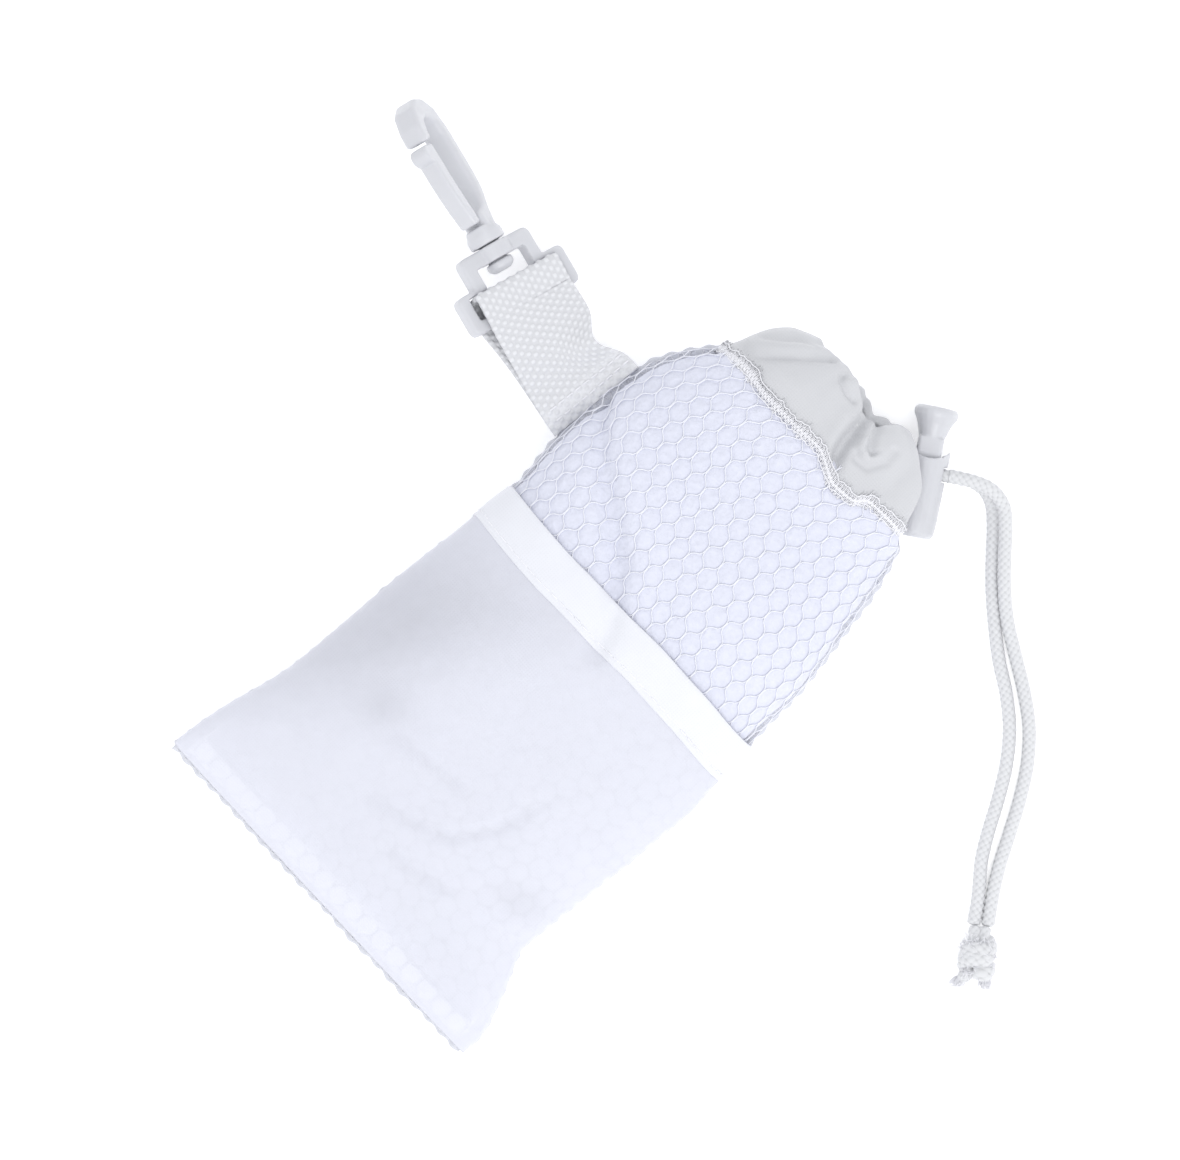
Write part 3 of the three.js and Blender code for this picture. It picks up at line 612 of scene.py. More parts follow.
def plastic_finish():
    finish = Finish("moulded_plastic", (0.585, 0.59, 0.62), 0.42, Subsurface_Weight=0.12,
                    Subsurface_Scale=0.002, Subsurface_Radius=(1.0, 0.95, 0.9))
    finish.mottled(finish.noise(7, 3), 0.03)
    finish.rough(finish.noise(1.8, 4), 0.3, 0.46)
    return finish.bump(finish.noise(1.2, 3), 0.03, 0.5).bump(finish.noise(0.25, 2), 0.01, 0.5).material


def steel_finish():
    finish = Finish("spring_wire", (0.62, 0.63, 0.65), 0.28, Metallic=1.0)
    drawn = finish.noise(0.2, 2, (1, 1, 0.2))
    return finish.rough(drawn, 0.2, 0.4).bump(drawn, 0.01, 0.5).material


def floor_finish():
    finish = Finish("floor_paper", (0.97, 0.97, 0.975), 0.85, Emission_Strength=0.3,
                    Emission_Color=(1, 1, 1, 1))
    return finish.mottled(finish.noise(60, 2), 0.01).bump(finish.noise(0.8, 3), 0.03, 0.3).material


TERRY, NET, PLASTIC, STEEL = terry_finish(), net_finish(), plastic_finish(), steel_finish()
# The pocket's cloth paints shade from its relief, at 0.24.
POCKET_CLOTH = cloth_finish("pocket_cloth", (0.80, 0.81, 0.885), 0.7, 0.24)
HEM_CLOTH = cloth_finish("hem_cloth", (0.83, 0.84, 0.89), 0.86)
BINDING_CLOTH = cloth_finish("binding_cloth", (0.64, 0.65, 0.70), 1.0)
COLLAR_CLOTH = cloth_finish("collar_cloth", (0.565, 0.57, 0.59), 1.0)
# The braid's colour gets painted shade in the grooves between its yarns.
BRAID = yarn_finish("braid_yarn", (0.66, 0.665, 0.68), (1, 1, 1), 0.34)
# The tape's colour gets painted shade between its beads.
TAPE = yarn_finish("webbing_yarn", (0.70, 0.705, 0.73), (0.4, 1, 1), 0.15)
SEWING = yarn_finish("sewing_thread", (0.86, 0.86, 0.895), (1, 1, 1), depth=0.012)


# ---- Camera, floor and light ----

# In metres, in the frame.
CAMERA_PLACE, VIEW_WIDTH, SENSOR_WIDTH = (-0.0112, 0.0150, 2.0), 0.28095, 36
CAMERA_TURN = math.atan2(0.731, 0.682)
KEY_PLACE, KEY_AIM, KEY_SIZE, KEY_POWER = (0.85, -0.3, 1.75), (0, 0, 0.01), 1.1, 14.5
FLOOR_REACH = 3.0
SKY_COLOR, SKY_STRENGTH = (0.97, 0.98, 1, 1), 1.0


def camera():
    """Looks straight down, turned so that the pouch lies aslant, from far off."""
    lens = bpy.data.cameras.new("camera")
    lens.sensor_width, lens.lens = SENSOR_WIDTH, SENSOR_WIDTH * CAMERA_PLACE[2] / VIEW_WIDTH
    lens.clip_end = 20
    view = added("camera", lens)
    view.location = CAMERA_PLACE
    view.rotation_euler = (0, 0, CAMERA_TURN)
    bpy.context.scene.camera = view


def key_light():
    """One large soft lamp, high on the pouch's right."""
    lamp = bpy.data.lights.new("key", "AREA")
    lamp.size, lamp.energy = KEY_SIZE, KEY_POWER
    light = added("key", lamp)
    light.location = KEY_PLACE
    light.rotation_euler = (Vector(KEY_AIM) - Vector(KEY_PLACE)).to_track_quat("-Z", "Y").to_euler()


def studio():
    """A bright paper floor under an even sky."""
    mesh = bpy.data.meshes.new("floor")
    corners = [(x * FLOOR_REACH, y * FLOOR_REACH, 0) for x, y in ((-1, -1), (1, -1), (1, 1), (-1, 1))]
    mesh.from_pydata(corners, [], [(0, 1, 2, 3)])
    mesh.materials.append(floor_finish())
    added("floor", mesh)
    world = bpy.data.worlds.new("studio")
    world.use_nodes = True
    world.node_tree.nodes["Background"].inputs["Color"].default_value = SKY_COLOR
    world.node_tree.nodes["Background"].inputs["Strength"].default_value = SKY_STRENGTH
    bpy.context.scene.world = world
    bpy.context.scene.view_settings.view_transform = "Standard"
    key_light()


# ---- Cords ----

def braided(path, radius=CORD_DIAMETER / 2, sides=36, ends=(1.0, 1.0), lumps=0.0):
    """Points, faces and relief of a braided cord along a line, closed at both ends. The relief also drives
    painted shade in the braid's grooves.
    """
    run, turn = run_along(path), circle(sides)
    around = BRAID_COUNT * turn[None] / (2 * np.pi)
    forward = run[:, None] / BRAID_PITCH
    relief = plain_weave(around + forward, around - forward)
    size = radius * (0.80 + 0.24 * relief) * (1 + lumps * ripple(run[:, None], around * 2.1, 4, 81))
    for end, reach in zip((run, run[-1] - run), ends):
        size = size * np.sqrt(np.clip(end / reach, 0.02, 1))[:, None] if reach else size
    return rings(path, *carried_frames(path), size, turn), tube_faces(len(path), sides), relief


def braided_piece(name, path, **shape):
    points, faces, relief = braided(path, **shape)
    return new_piece(name, points, faces, BRAID, "braid", relief)


def knot_point(along, across, up):
    """A point by the knot: along its own axis, which runs on from the tails."""
    forward = np.array([math.cos(KNOT_YAW), math.sin(KNOT_YAW), 0])
    side = np.array([-forward[1], forward[0], 0])
    return KNOT_CENTRE + along * forward + across * side + up * np.array([0, 0, 1.0])


def knot_strands():
    """Two strands that run in side by side, and the thick turns of the knot round them."""
    turns = []
    for start, sweep, first, last, size in ((-80, 430, -3.6, 1.4, 2.5), (100, -400, 3.6, -0.6, 2.6),
                                            (20, 300, -0.4, 3.4, 2.9)):
        steps = np.linspace(0, 1, 90)
        angle = np.radians(start + sweep * steps)
        along = first + (last - first) * steps + 0.5 * np.sin(2 * angle)
        pull = smooth_step(0, 0.1, steps) * smooth_step(0, 0.1, 1 - steps)
        turns.append(np.array([knot_point(a, s * math.cos(t), s * math.sin(t) * 0.84)
                               for a, s, t in zip(along, size * (0.4 + 0.6 * pull), angle)]))
    core = [[knot_point(-7.4, side, -1.4), knot_point(-4.5, side * 0.9, -0.4), knot_point(0, side * 0.7, 0),
             knot_point(4.0, side * 1.6, -0.4), knot_point(5.8, side * 2.6 - 0.8, -1.2)]
            for side in (-STRAND_GAP, STRAND_GAP)]
    return turns, [smooth_path(points, 0.3) for points in core]


def fray():
    """Loose filaments at the two cut ends and the fluff of the worn knot."""
    lines = []
    for side in (-STRAND_GAP, STRAND_GAP):
        for _ in range(110):
            angle, reach = RNG.uniform(0, 2 * np.pi), math.sqrt(RNG.uniform(0, 1))
            spread, length = RNG.uniform(0.9, 1.9), RNG.uniform(0.6, 2.0)
            sideways, upward = reach * math.cos(angle), reach * math.sin(angle)
            start = knot_point(4.8, side * 2.2 - 0.6 + sideways, -0.9 + upward)
            end = knot_point(5.8 + length, side * 2.8 - 1 + 1.3 * spread * sideways,
                             -1.2 + 1.1 * spread * upward)
            lines.append(filament(start, end, 0.35))
    for _ in range(420):
        angle, along = RNG.uniform(0, 2 * np.pi), RNG.uniform(-4.6, 5.0)
        out = 3.9 * math.sqrt(max(0.2, 1 - (along / 6.4) ** 2))
        start = knot_point(along, out * math.cos(angle), out * math.sin(angle) * 0.84)
        angle += RNG.normal(0, 0.35)
        out += RNG.uniform(0.3, 1.0)
        end = knot_point(along + RNG.normal(0, 1.0), out * math.cos(angle), out * math.sin(angle) * 0.84)
        lines.append(filament(start, end, 0.3))
    return lines


def filament(start, end, bend):
    """One thin fibre between two points, bent a little and kept off the floor."""
    steps = np.linspace(0, 1, 5)[:, None]
    line = start + (end - start) * steps + RNG.normal(0, bend, 3) * np.sin(np.pi * steps)
    line[:, 2] = np.maximum(line[:, 2], 0.2)
    return line, np.tile([0, 0, 1.0], (5, 1))


def free_tails():
    """The two loose ends of the drawcord, which lie on the floor and end in one knot."""
    turns, core = knot_strands()
    wound = [braided(strand, KNOT_RADIUS, 30, (0.9, 0.9), 0.09) for strand in turns]
    wound += [braided(strand, sides=24, ends=(0.8, 0.8), lumps=0.05) for strand in core]
    points, faces = joined([part[:2] for part in wound])
    relief = np.concatenate([part[2].ravel() for part in wound])
    knot = new_piece("tail_knot", points, faces, BRAID, "braid", relief)
    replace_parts(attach(knot, "pouch"), "cord_knot")
    tuft = threads_piece("knot_fray", fray(), 0.08, SEWING, "braid", sides=4)
    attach(tuft, "pouch")
    for name, route in (("cord_tail_left", TAIL_LEFT), ("cord_tail_right", TAIL_RIGHT)):
        path = smooth_path(np.array(route) + [0, 0, TAIL_RADIUS - CORD_DIAMETER / 2], 0.25)
        tail = braided_piece(name.replace("cord", "braided"), path, radius=TAIL_RADIUS, ends=(0, 0.6))
        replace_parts(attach(tail, "pouch"), name)
        placed(path[:1])[0]
        placed(path[::4]).tolist()


# ---- Towel and net ----

def cell_bulge(across, y):
    """1 at the middle of each cell of the net, 0 along its threads."""
    across = across - net_drift(across, y)
    nearest = np.full(np.shape(across), 1e9)
    for shift in (-1, 0, 1):
        row = np.round(y / ROW) + shift
        offset = 0.5 * (row % 2)
        centre = (np.round(across / CELL - offset) + offset) * CELL
        nearest = np.minimum(nearest, np.hypot(across - centre, y - row * ROW))
    return np.clip(1 - (nearest / (0.54 * CELL)) ** 2, 0, 1)


def net_drift(across, y):
    """The net isn't quite even: how far its cells stray sideways."""
    return 0.5 * ripple(across, y, 38, 11)


def towel_reach(face, across, y):
    """1 where the towel fills the net tightly, 0 at its edges, where the net stands free."""
    ends = smooth_step(4, 12, y) * smooth_step(0, 3, MESH_TOP + 1 - y)
    return smooth_step(1.0, 6.5, inside(face, across, y)) * ends


def folded_towel():
    """One rounded block that fills the net and bulges a little into its cells."""
    rows = np.linspace(TOWEL_FROM, TOWEL_TO, 308)
    layers = []
    for face, columns in ((FRONT, 220), (BACK, 90)):
        share = np.linspace(0.5, -0.5, columns) * (1 if face.front else -1)
        y = np.repeat(rows[:, None], columns, 1)
        across = share[None] * (face.width(rows) * 0.998)[:, None]
        tight = towel_reach(face, across, y)
        inset = TOWEL_INSET - 4.0 * tight
        loops = 0.08 * ripple(across, y, 3.1, 21) + 0.06 * ripple(across, y, 1.7, 22)
        bulge = (0.22 * cell_bulge(across, y) + loops) * (0.25 + 0.75 * tight) * (1 if face.front else 0.3)
        layers.append(surface(face, across, y, bulge - inset)[0])
    ring = np.concatenate(layers, axis=1)
    middle = ring.mean(axis=1, keepdims=True)
    caps = [(0.55, 1.3), (0.82, 0.8), (0.94, 0.3)]
    start = [middle[:1] + (ring[:1] - middle[:1]) * scale - [0, back, 0] for scale, back in caps]
    end = [middle[-1:] + (ring[-1:] - middle[-1:]) * scale + [0, on, 0] for scale, on in reversed(caps)]
    ring = np.concatenate(start + [ring] + end)
    towel = new_piece("terry_towel", ring.reshape(-1, 3), tube_faces(*ring.shape[:2]), TERRY, "terry")
    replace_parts(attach(towel, "pouch"), "folded_towel")


def net_lines(face):
    """Wavy threads along the pouch. Neighbours meet in every row, which leaves hexagons."""
    lines = []
    half = CELL / 2
    most = int(face.widths.max() / 2 / half) + 1
    y = np.arange(0.6, MESH_TOP - 0.2, 0.74)
    wave = np.tanh(2.0 * np.cos(np.pi * y / ROW)) / math.tanh(2.0)
    for m in range(-most - 1, most + 1):
        odd, even = (m, m + 1) if m % 2 else (m + 1, m)
        swing = (odd - even) / 2 * (1 - 0.9 * NET_THREAD / half)
        across = half * ((odd + even) / 2 + wave * swing)
        across = across + net_drift(across, y)
        held = inside(face, across, y) > 0.3
        for run in np.split(np.arange(len(y)), np.flatnonzero(np.diff(held.astype(int))) + 1):
            if held[run[0]] and len(run) > 3:
                lines.append(surface(face, across[run], y[run], -0.1 + 0.1 * np.abs(wave[run])))
    return lines


def net_panels():
    """The knitted net of both faces. The back's threads are kept off the floor."""
    lowest = [-np.inf, -np.inf, NET_THREAD + 0.02]
    for face, node in ((FRONT, "front_mesh_panel"), (BACK, "back_mesh_panel")):
        lines = net_lines(face)
        if not face.front:
            lines = [(np.maximum(points, lowest), normals) for points, normals in lines]
        panel = threads_piece("knitted_" + node, lines, NET_THREAD, NET, "net", sides=4)
        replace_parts(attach(panel, "pouch"), node)


# ---- Pocket ----

WRINKLES = [
    (0.4, [(50, 12), (36, 16), (22, 15)], 1.6, 0.4),
    (0.35, [(48, 30), (34, 28), (24, 30)], 1.3, 0.4),
    (0.35, [(52, 58), (42, 55), (36, 56)], 1.1, 0.4),
    (-0.3, [(52, 62), (41, 60), (34, 62)], 1.1, 0.4),
    (0.2, [(-50, 10), (-36, 22), (-26, 30)], 2.0, 0.4)
]
# Painted shade on the pocket's colour: its dents and a few hollows, in the forms of modelled().
SHADED_DENTS = [(-0.15, line, width, taper) for _, line, width, taper in POCKET_DENTS]
SHADED_HOLLOWS = [
    (-0.6, (-38, 58), (16, 27), -14), (-0.3, (-23, 44), (6, 5), 0), (-0.25, (-20, 80), (22, 12), 30),
    (-0.3, (35, 36), (8, 5), 20)
]


def pocket_folds(across, y):
    """Small wrinkles of the pocket's own cloth."""
    waves = 0.12 * ripple(across, y, 24, 31) + 0.05 * ripple(across, y, 9, 32)
    return waves + modelled(across, y, WRINKLES)


def pocket_painted_shade(across, y, shown):
    """Painted shade of the pocket: 1 where the thin cloth stands off, lower where it sinks into dents and
    hollows and where the net's threads lie beneath it.
    """
    threads = 1 - smooth_step(0, 0.6, cell_bulge(across, y))
    return 1 + modelled(across, y, SHADED_DENTS, SHADED_HOLLOWS) - 0.15 * threads * (0.2 + 0.8 * shown)


def flat_grid(face, rows, columns):
    """A grid over the face between its side seams: across and y."""
    y = np.repeat(np.asarray(rows, float)[:, None], columns, 1)
    across = np.linspace(0.5, -0.5, columns)[None] * face.width(np.asarray(rows, float))[:, None]
    return across, y


def pocket():
    """The thin cloth over the lower half of the front, with its hem and the hem's stitches."""
    across, y = flat_grid(FRONT, np.linspace(0.6, HEM_FOOT + 1.0, 220), 240)
    fade = smooth_step(0, 5, y) * smooth_step(0, 3, inside(FRONT, across, y))
    lift = POCKET_LIFT + pocket_folds(across, y) * fade * (1 - smooth_step(82, 89, y))
    shown = smooth_step(-20, 30, across + 0.4 * (60 - y)) * fade
    lift = lift + 0.09 * cell_bulge(across, y) * (0.35 + 0.65 * shown)
    outer = surface(FRONT, across, y, lift + CLOTH_THICKNESS)[0]
    inner = surface(FRONT, across, y, lift)[0]
    # Painted shade of the dents, the hollows and the net beneath, carried as the cloth's relief.
    painted_shade = pocket_painted_shade(across, y, shown)
    sheet = closed_sheet(outer, inner)
    panel = new_piece("pocket_cloth_panel", *sheet, POCKET_CLOTH, "woven", [painted_shade, painted_shade])
    hem = pocket_hem()
    stitches = threads_piece("pocket_stitches", hem_stitches(), 0.14, SEWING, "thread", sides=6)
    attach(stitches, "pouch")
    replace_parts(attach(panel, "pouch"), "pocket_panel")
    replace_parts(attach(hem, "pouch"), "pocket_hem")


def hem_edge(across):
    """How far the hem wanders up and down along the pocket's mouth."""
    return 0.35 * np.sin(across / 9.0) + 0.2 * ripple(across, 0, 21, 41)


def pocket_hem():
    """The folded band along the pocket's mouth. Its section is (rise, lift) points."""
    profile = [(0, 0.72), (0, 0.9), (0.4, 1.1), (1.5, 1.06), (2.3, 1.12), (5, 1.3), (8, 1.35), (10.2, 1.25),
               (11.0, 1.1), (11.2, 0.9), (10.9, 0.7), (9.5, 0.55), (5, 0.66), (2, 0.7)]
    columns = 240
    share = np.linspace(0.5, -0.5, columns)
    rows = []
    for rise, lift in profile:
        y = HEM_FOOT + rise
        across = share * FRONT.width(y)
        y = y + hem_edge(across) * smooth_step(0, 8, inside(FRONT, across, y))
        ripples = 0.12 * ripple(across, y, 10, 42) * (rise > 0.4)
        rows.append(surface(FRONT, across, y, lift + ripples)[0])
    points = np.stack(rows, 1).reshape(-1, 3)
    return new_piece("pocket_hem_band", points, tube_faces(columns, len(profile)), HEM_CLOTH, "woven")


def hem_stitches():
    """A row of lock stitches just above the hem's lower edge."""
    lines = []
    level, pitch, length = HEM_FOOT + 1.6, 2.6, 2.1
    half = FRONT.width(level) / 2 - 1.5
    for start in np.arange(-half, half - pitch, pitch):
        across = start + np.linspace(0, length, 7)
        y = level + 0.1 + hem_edge(across) + RNG.normal(0, 0.04)
        lift = 1.0 + 0.14 * np.sin(np.linspace(0, np.pi, 7)) ** 0.5
        lines.append(surface(FRONT, across, y, lift))
    return lines


# ---- Side and bottom seams ----

def bound_seam(name, node, path, width, height, outward):
    """A narrow folded edge along a line, with scallops where the net's rows are caught."""
    upward = np.array([0, 0, 1.0])
    normals = np.tile(upward, (len(path), 1))
    run, turn = run_along(path), circle(14)
    side = unit(np.cross(unit(np.gradient(path, axis=0)), normals)) * outward
    scallop = 0.28 * np.cos(2 * np.pi * run / ROW) + 0.15 * ripple(run, 0, 13, 51)
    puckers = 1 + 0.16 * np.sin(2 * np.pi * run / 2.1) + 0.1 * ripple(run, 0, 6, 52)
    wide = width / 2 * powered(np.cos(turn), 0.7)[None] + scallop[:, None] * (np.cos(turn) > 0)[None]
    tall = height / 2 * powered(np.sin(turn), 0.7)[None] * puckers[:, None]
    ring = path[:, None] + wide[..., None] * side[:, None] + tall[..., None] * upward
    piece = new_piece(name, ring.reshape(-1, 3), tube_faces(len(path), len(turn)), BINDING_CLOTH, "net")
    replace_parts(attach(piece, "pouch"), node)
    lines = []
    for face_side in (1, -1):
        zigzag = np.where(np.arange(len(path)) // 3 % 2, 1.0, -1.0)
        line = path + side * (zigzag * width * 0.22)[:, None] + [0, 0, face_side * (height / 2 + 0.05)]
        lines.append((line, normals * face_side))
    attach(threads_piece(name + "_stitches", lines, 0.11, SEWING, "thread"), "pouch")


def seams():
    """The two side seams and the bottom one. The side seams lie 1.1 mm inside the edges."""
    y = np.arange(0.5, MESH_TOP - 2, 0.42)
    for name, edge, inward in (("left_side_seam", left_edge, 1), ("right_side_seam", right_edge, -1)):
        path = np.stack([edge(y) + 1.1 * inward, y, seam_height(y)], -1)
        bound_seam(name.replace("_seam", "_binding"), name, path, 3.4, 1.5, -inward)
    x = np.arange(left_edge(0) + 0.2, right_edge(0) - 0.2, 0.42)
    bottom = np.stack([x, 0.35 + 0.2 * ripple(x, 0, 30, 53), np.full(len(x), seam_height(0))], -1)
    bound_seam("bottom_binding", "bottom_seam", bottom, 2.4, 1.9, 1)


# ---- Collar ----

# The front's seam and rim wander, as functions of x and of the share across, -1 to 1.
collar_foot = smooth_curve([
    (-29, 159.6), (-22, 160.6), (-14.5, 159.6), (-4, 159.8), (2.8, 160.3), (9.6, 156.9), (15, 157.5),
    (20.4, 160.3), (27.3, 160.8), (32.2, 160.2)
])
collar_rim = smooth_curve([
    (-1, 177.6), (-0.75, 177.0), (-0.46, 177.4), (-0.22, 176.9), (0, 175.5), (0.27, 174.3),
    (0.37, 173.2), (0.45, 174.7), (0.56, 176.6), (0.74, 177.8), (1, 177.6)
])

# Folds of the collar's front: a smooth balloon with a rolled lip on the left, a deep gather
# beside the middle and a curled lobe on the right. The forms are those of modelled().
GATHERS = [
    (-1.3, [(-27.5, 160.5), (-22.9, 163), (-15.3, 170.5), (-8.7, 176.9)], 1.3, 0.08),
    (0.5, [(-27, 163.5), (-21, 168), (-14, 174.5)], 1.5, 0.1),
    (-0.5, [(-25.9, 166.3), (-18.2, 173.3), (-14.1, 175.3)], 0.8, 0.15),
    (-3.6, [(3.6, 177), (5.2, 172.5), (6, 165.4), (7, 161), (9.5, 156)], 1.7, 0.0),
    (0.9, [(1, 172), (2.4, 166), (4, 160)], 2.4, 0.25),
    (-1.0, [(-6.4, 175.6), (-5, 173.2), (-1.9, 172.4), (1.6, 173)], 0.8, 0.15),
    (-1.5, [(8.4, 174), (9.2, 170.6), (11.2, 168), (13.2, 167.4)], 1.0, 0.1),
    (0.8, [(7.8, 170), (9.2, 166.6), (12.6, 165.6)], 0.9, 0.2),
    (-0.8, [(8.6, 166), (10.5, 163.9), (14, 164.4), (16, 168.4), (15.2, 172.6)], 1.0, 0.1),
    (-0.5, [(20, 174), (20.5, 167), (23, 161)], 2.0, 0.3)
]
LOBES = [(2.0, (-11, 167), (11, 7), 35), (1.2, (-2.4, 175.6), (3.1, 1.8), 30), (1.7, (13, 171), (6, 6), 0)]


def front_gathers(x, y):
    return modelled(x, y, GATHERS, LOBES) + 0.05 * ripple(x, y, 9, 61)


def collar_layer(columns, rows, inset, rolled):
    """A grid round the whole mouth: rows run from the seam (0) to the rim (1). Inset is how far
    inside it lies, and rolled is 1 where the rim rolls inward."""
    angle = circle(columns)
    share = powered(np.cos(angle), SECTION_POWER)
    front = smooth_step(-0.15, 0.25, np.sin(angle))
    flat_x = section_point(np.full(columns, 160.0), angle)[:, 0]
    foot = 159.4 + front * (collar_foot(flat_x) - 159.4)
    back_rim = 176.4 + 0.9 * np.sin(9 * share + 1)
    rim = back_rim + front * (collar_rim(share) - back_rim)
    share_up = np.asarray(rows, float)[:, None]
    y = foot[None] + share_up * (rim - foot)[None]
    points = section_point(y, angle[None] + 0 * y)
    outward = unit(np.cross(np.roll(points, -1, 1) - np.roll(points, 1, 1), np.gradient(points, axis=0)))
    outward = outward * np.sign((outward[..., 2] * np.sin(angle)[None]).sum())
    lift = 0.5 - 0.5 * smooth_step(0.85, 1, share_up) * rolled
    pleats = sum(np.exp(-((share - at) / 0.07) ** 2) for at in PLEAT_SHARES)
    lift = lift + (0.9 - 1.9 * pleats) * share_up ** 1.5 * (1 - 0.8 * front)[None]
    gathers = front_gathers(points[..., 0], points[..., 1])
    lift = np.maximum(lift + front[None] * gathers * smooth_step(0, 0.3, share_up), -DEEPEST_GATHER)
    if inset:
        lift = lift - 1.2 - (inset - 1.2) * smooth_step(0, 0.5, share_up)
    return points + outward * lift[..., None]


def collar():
    """The gathered channel round the mouth, one closed skin of an outer and an inner side."""
    columns = 420
    outer = collar_layer(columns, np.linspace(0, 1, 92), 0, 1)
    inner = collar_layer(columns, np.linspace(1, 0, 30), COLLAR_DEPTH, 0)
    ease = np.linspace(0, 1, 9)[1:-1, None, None]
    roll = outer[-1:] + (inner[:1] - outer[-1:]) * ease
    roll[..., 1] += 0.9 * np.sin(np.pi * ease[..., 0])
    ring = np.concatenate([outer, roll, inner])
    faces = grid_faces(len(ring), columns, 0, closed_rows=True, closed_columns=True)
    channel = new_piece("gathered_collar", ring.reshape(-1, 3), faces, COLLAR_CLOTH, "woven")
    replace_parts(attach(channel, "pouch"), "collar_channel")
    edging = collar_overlock(outer[0])
    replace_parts(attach(edging, "pouch"), "collar_seam")


def collar_overlock(foot):
    """Fine, ragged overlock stitches along the collar's lower edge, with fluff between them."""
    path = smooth_path(np.vstack([foot, foot[:1]]), 0.22)
    outward = path - path.mean(axis=0)
    outward[:, 1] = 0
    outward = unit(outward)
    along = np.array([0, 1.0, 0])
    steps = np.arange(len(path))
    run = steps * 0.22
    ragged = 0.35 * ripple(run, 0, 5, 71) + 0.2 * ripple(run, 0, 1.6, 72)
    lines = []
    for phase, width, height in ((0, 2.3, 0.16), (1.7, 1.8, 0.22), (3.1, 1.3, 0.28)):
        zigzag = 4 * np.abs(((steps + phase) / 5.0) % 1 - 0.5) - 1
        reach = zigzag * width * (1 + 0.8 * ragged) - 0.9
        lines.append((path + along * reach[:, None] + outward * height, outward))
    for shift in (-2.1, 0.7):
        lines.append((path + along * (shift + ragged)[:, None] + outward * 0.4, outward))
    return threads_piece("collar_overlock", lines, 0.13, SEWING, "thread", sides=5)


def drawcord_in_collar():
    """The held part of the cord, through the lock, round the channel and back."""
    def strand(up, distances):
        return [LOCK_CENTRE + LOCK_AXIS * LOCK_HOLE_AT + CORD_WAY * d + [0, 0, up] for d in distances]
    face, end = LOCK_HALF_WIDTH + 0.1, LOCK_HALF_WIDTH + 0.9
    inset, cord_y = 4.0, 169.4
    left, right, seam = left_edge(cord_y), right_edge(cord_y), seam_height(cord_y)
    around = []
    for degrees in (14, 32, 54, 78, 105, 135, 160, 180, 200, 225, 255, 285, 310):
        c, up = math.cos(math.radians(degrees)), math.sin(math.radians(degrees))
        x = (left + right) / 2 + ((right - left) / 2 - inset) * powered(c, SECTION_POWER)
        if up >= 0:
            z = seam + (front_height(cord_y) - inset - seam) * up ** SECTION_POWER
        else:
            z = seam - (seam - back_height(cord_y) - inset) * min(1, BACK_SPREAD * abs(up) ** BACK_POWER)
        around.append([x, cord_y, float(z)])
    inward = -7.6
    points = [*strand(STRAND_OFFSET, (end, 0, -face, inward)), *around,
              *strand(-STRAND_OFFSET, (inward, -face, 0, end))]
    cord = braided_piece("drawcord_round_mouth", smooth_path(points, 0.4), sides=24, ends=(0, 0))
    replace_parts(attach(cord, "pouch"), "drawcord")


# ---- Webbing tab ----

def clip_point(along, across, up):
    """Points by the clip: along to the hook's tip, across the eye, up out of its plane."""
    turn = Matrix.Rotation(CLIP_YAW, 3, "Z") @ Matrix.Rotation(CLIP_ROLL, 3, "X")
    local = np.stack(np.broadcast_arrays(along, across, up), -1)
    return local @ np.array(turn).T + CLIP_PLACE


def tab_surface(share, beyond, across, up):
    """Points of the tab: share runs from the seam (0) to the eye's bar (1), across -1 to 1."""
    share, beyond, across, up = np.broadcast_arrays(share, beyond, across, up)
    narrowing = 1.03 - 0.04 * smooth_step(0, 0.8, share)
    waist = 4.0 * np.exp(-((share - 0.42) / 0.17) ** 2) * smooth_step(-0.3, 1, -across)
    reach = WEBBING_WIDTH / 2 * across * narrowing + waist
    bow = 0.9 * np.sin(np.pi * share) * (1 - across ** 2)
    bow = bow - 1.1 * np.exp(-((share - 0.3 - 0.12 * across) / 0.16) ** 2)
    bow = bow + 2.2 * np.exp(-((share - 0.42) / 0.16) ** 2) * smooth_step(-0.1, 1, -across)
    flare = 1.5 * smooth_step(0.2, 1, -across) * np.exp(-(share / 0.2) ** 2)
    x, y, slope = TAB_SEAM
    seam = np.stack([x - slope * reach, y - reach, seam_height(y) + up + flare], -1)
    bar = clip_point(BAR_CENTRE + beyond, reach, up)
    mixed = seam + (bar - seam) * share[..., None]
    mixed[..., 2] += bow * smooth_step(0, 0.1, share)
    return mixed


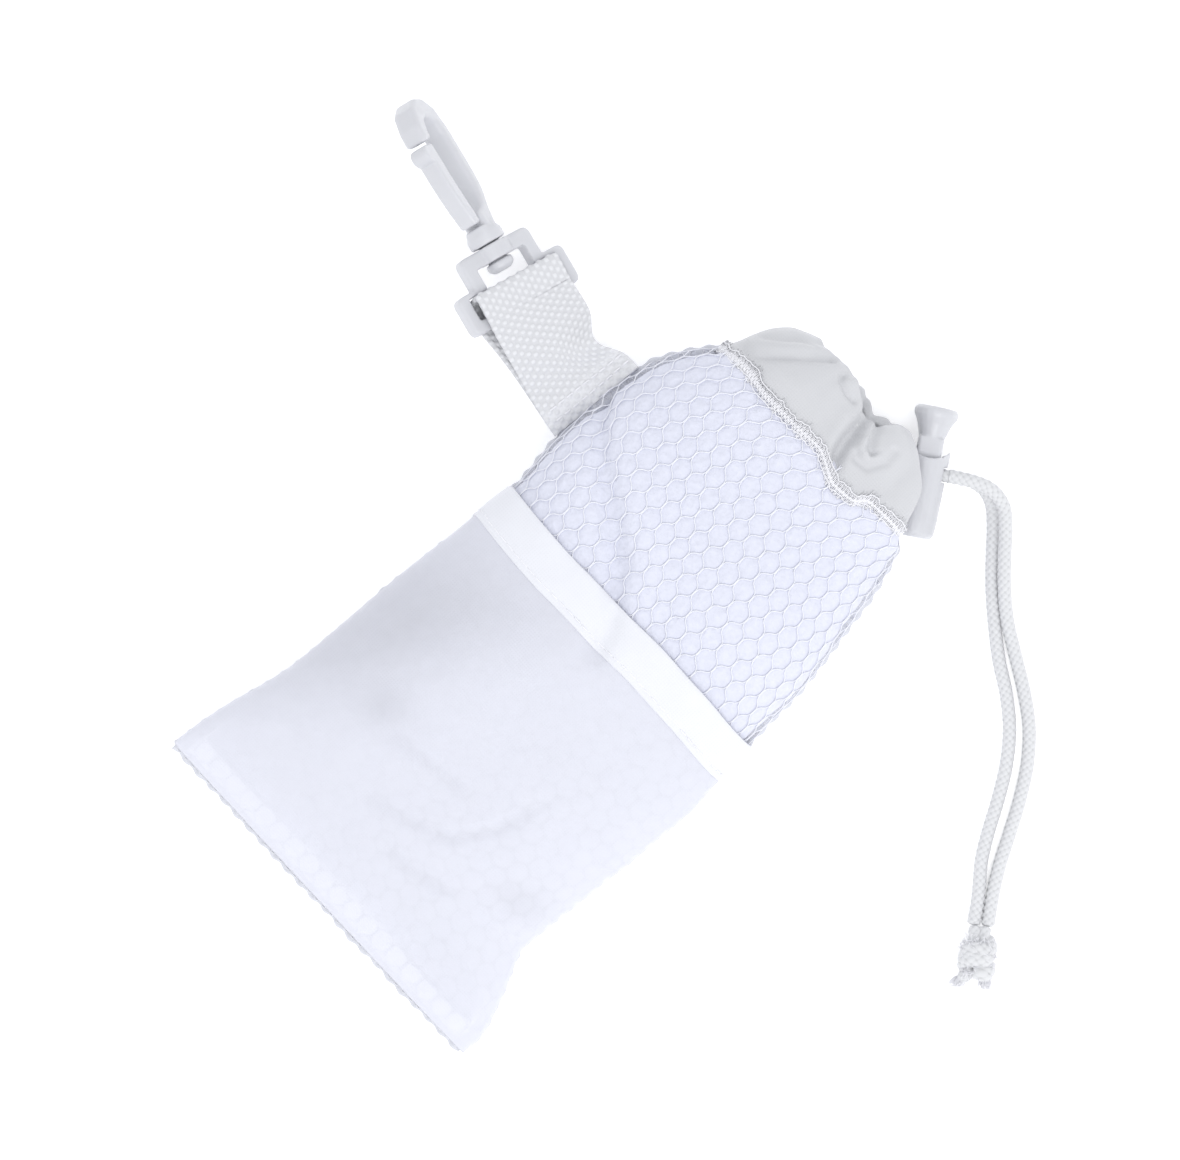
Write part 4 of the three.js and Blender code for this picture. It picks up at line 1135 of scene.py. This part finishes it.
def webbing():
    """The doubled tape, from the seam round the eye's bar and back, and the seam's stitches."""
    share = np.concatenate([np.arange(0, TAB_LENGTH, 0.2), [TAB_LENGTH]]) / TAB_LENGTH
    turn = np.linspace(0, np.pi, 64)[1:-1]
    opening = TAB_CLOSED + (TAB_OPEN - TAB_CLOSED) * share ** 1.5
    line = [(s, 0.0, h) for s, h in zip(share, opening)]
    slack = np.exp(-((turn - 0.75) / 0.42) ** 2)
    line += [(1.0, TAB_REACH * math.sin(t) + 2.2 * more, TAB_OPEN * math.cos(t) + 1.2 * more)
             for t, more in zip(turn, slack)]
    line += [(s, 0.0, -h) for s, h in zip(share[::-1], opening[::-1])]
    share, beyond, up = (np.array(column)[:, None] for column in zip(*line))
    columns = 130
    across = np.linspace(-1, 1, columns)[None]
    middle = tab_surface(share, beyond, across, up)
    outward = unit(np.cross(np.gradient(middle, axis=0), np.gradient(middle, axis=1)))
    if outward[:40, :, 2].mean() < 0:
        outward = -outward
    run = run_along(middle[:, columns // 2])[:, None]
    weave = beads(across * WEBBING_WIDTH / 2 / BEAD_WIDTH, run / BEAD_LENGTH)
    edge = 0.25 * smooth_step(0.93, 1, np.abs(across))
    half = WEBBING_PLY / 2 * 0.7 + 0.34 * weave - edge
    outer, inner = middle + outward * half[..., None], middle - outward * half[..., None]
    sewn = smooth_step(7.5, 4.5, np.minimum(run, run[-1] - run) + 1.2 * across)
    # Painted shade between the weave's beads, carried as the tape's relief; near the sewn ends the pattern
    # turns round, lighter overall with darker beads.
    weave_shade = 0.1 + 0.9 * smooth_step(0.5, 0.95, weave)
    weave_shade = weave_shade + (1.0 - 0.75 * smooth_step(0.2, 0.7, weave) - weave_shade) * 0.8 * sewn
    tape = new_piece("webbing_loop", *closed_sheet(outer, inner), TAPE, "webbing", [weave_shade, weave_shade])
    stitches = []
    for distance in (2.6, 5.2):
        row = int(np.argmin(np.abs(run[:, 0] - distance)))
        for start in range(4, 118, 13):
            picked = slice(start, start + 10)
            rise = 0.62 + 0.16 * np.sin(np.linspace(0, np.pi, 10))[:, None]
            stitches.append((middle[row, picked] + outward[row, picked] * rise, outward[row, picked]))
    seam = threads_piece("webbing_stitches", stitches, 0.2, SEWING, "thread", sides=6)
    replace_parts(tape, "webbing_tab")
    for piece in (tape, seam):
        placed(TAB_BENDS_FROM)
        placed(TAB_BENDS_TO)
        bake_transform(piece)


# ---- Moulded plastic ----

def moulded(name, node, body, grain=0.26, rounds=7):
    """A smooth piece with soft edges, grown over the plain solid of a CAD node."""
    piece = added(name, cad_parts[node].data.copy())
    skin = piece.modifiers.new("skin", "REMESH")
    skin.mode, skin.voxel_size = "VOXEL", grain * 0.001
    soften = piece.modifiers.new("soften", "SMOOTH")
    soften.factor, soften.iterations = 0.5, rounds
    grown = bpy.data.meshes.new_from_object(piece.evaluated_get(bpy.context.evaluated_depsgraph_get()))
    piece.modifiers.clear()
    piece.data = grown
    grown.polygons.foreach_set("use_smooth", [True] * len(grown.polygons))
    grown.materials.clear()
    grown.materials.append(PLASTIC)
    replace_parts(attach(piece, body), node)


def plastics():
    """The cord lock and the clip, and the steel spring inside the lock."""
    moulded("lock_barrel", "cord_lock_body", "lock")
    moulded("lock_button", "cord_lock_plunger", "plunger", rounds=14)
    moulded("swivel_loop", "swivel_eye", "eye", rounds=12)
    moulded("snap_hook", "hook_body", "hook", rounds=22)
    moulded("hook_lever", "hook_gate", "gate", grain=0.24, rounds=12)
    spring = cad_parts["cord_lock_spring"]
    spring.data.materials.clear()
    spring.data.materials.append(STEEL)
    foot = placed(LOCK_CENTRE + LOCK_AXIS * SPRING_FOOT)
    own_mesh(spring)


camera()
studio()
free_tails()
folded_towel()
net_panels()
pocket()
seams()
drawcord_in_collar()
collar()
webbing()
plastics()
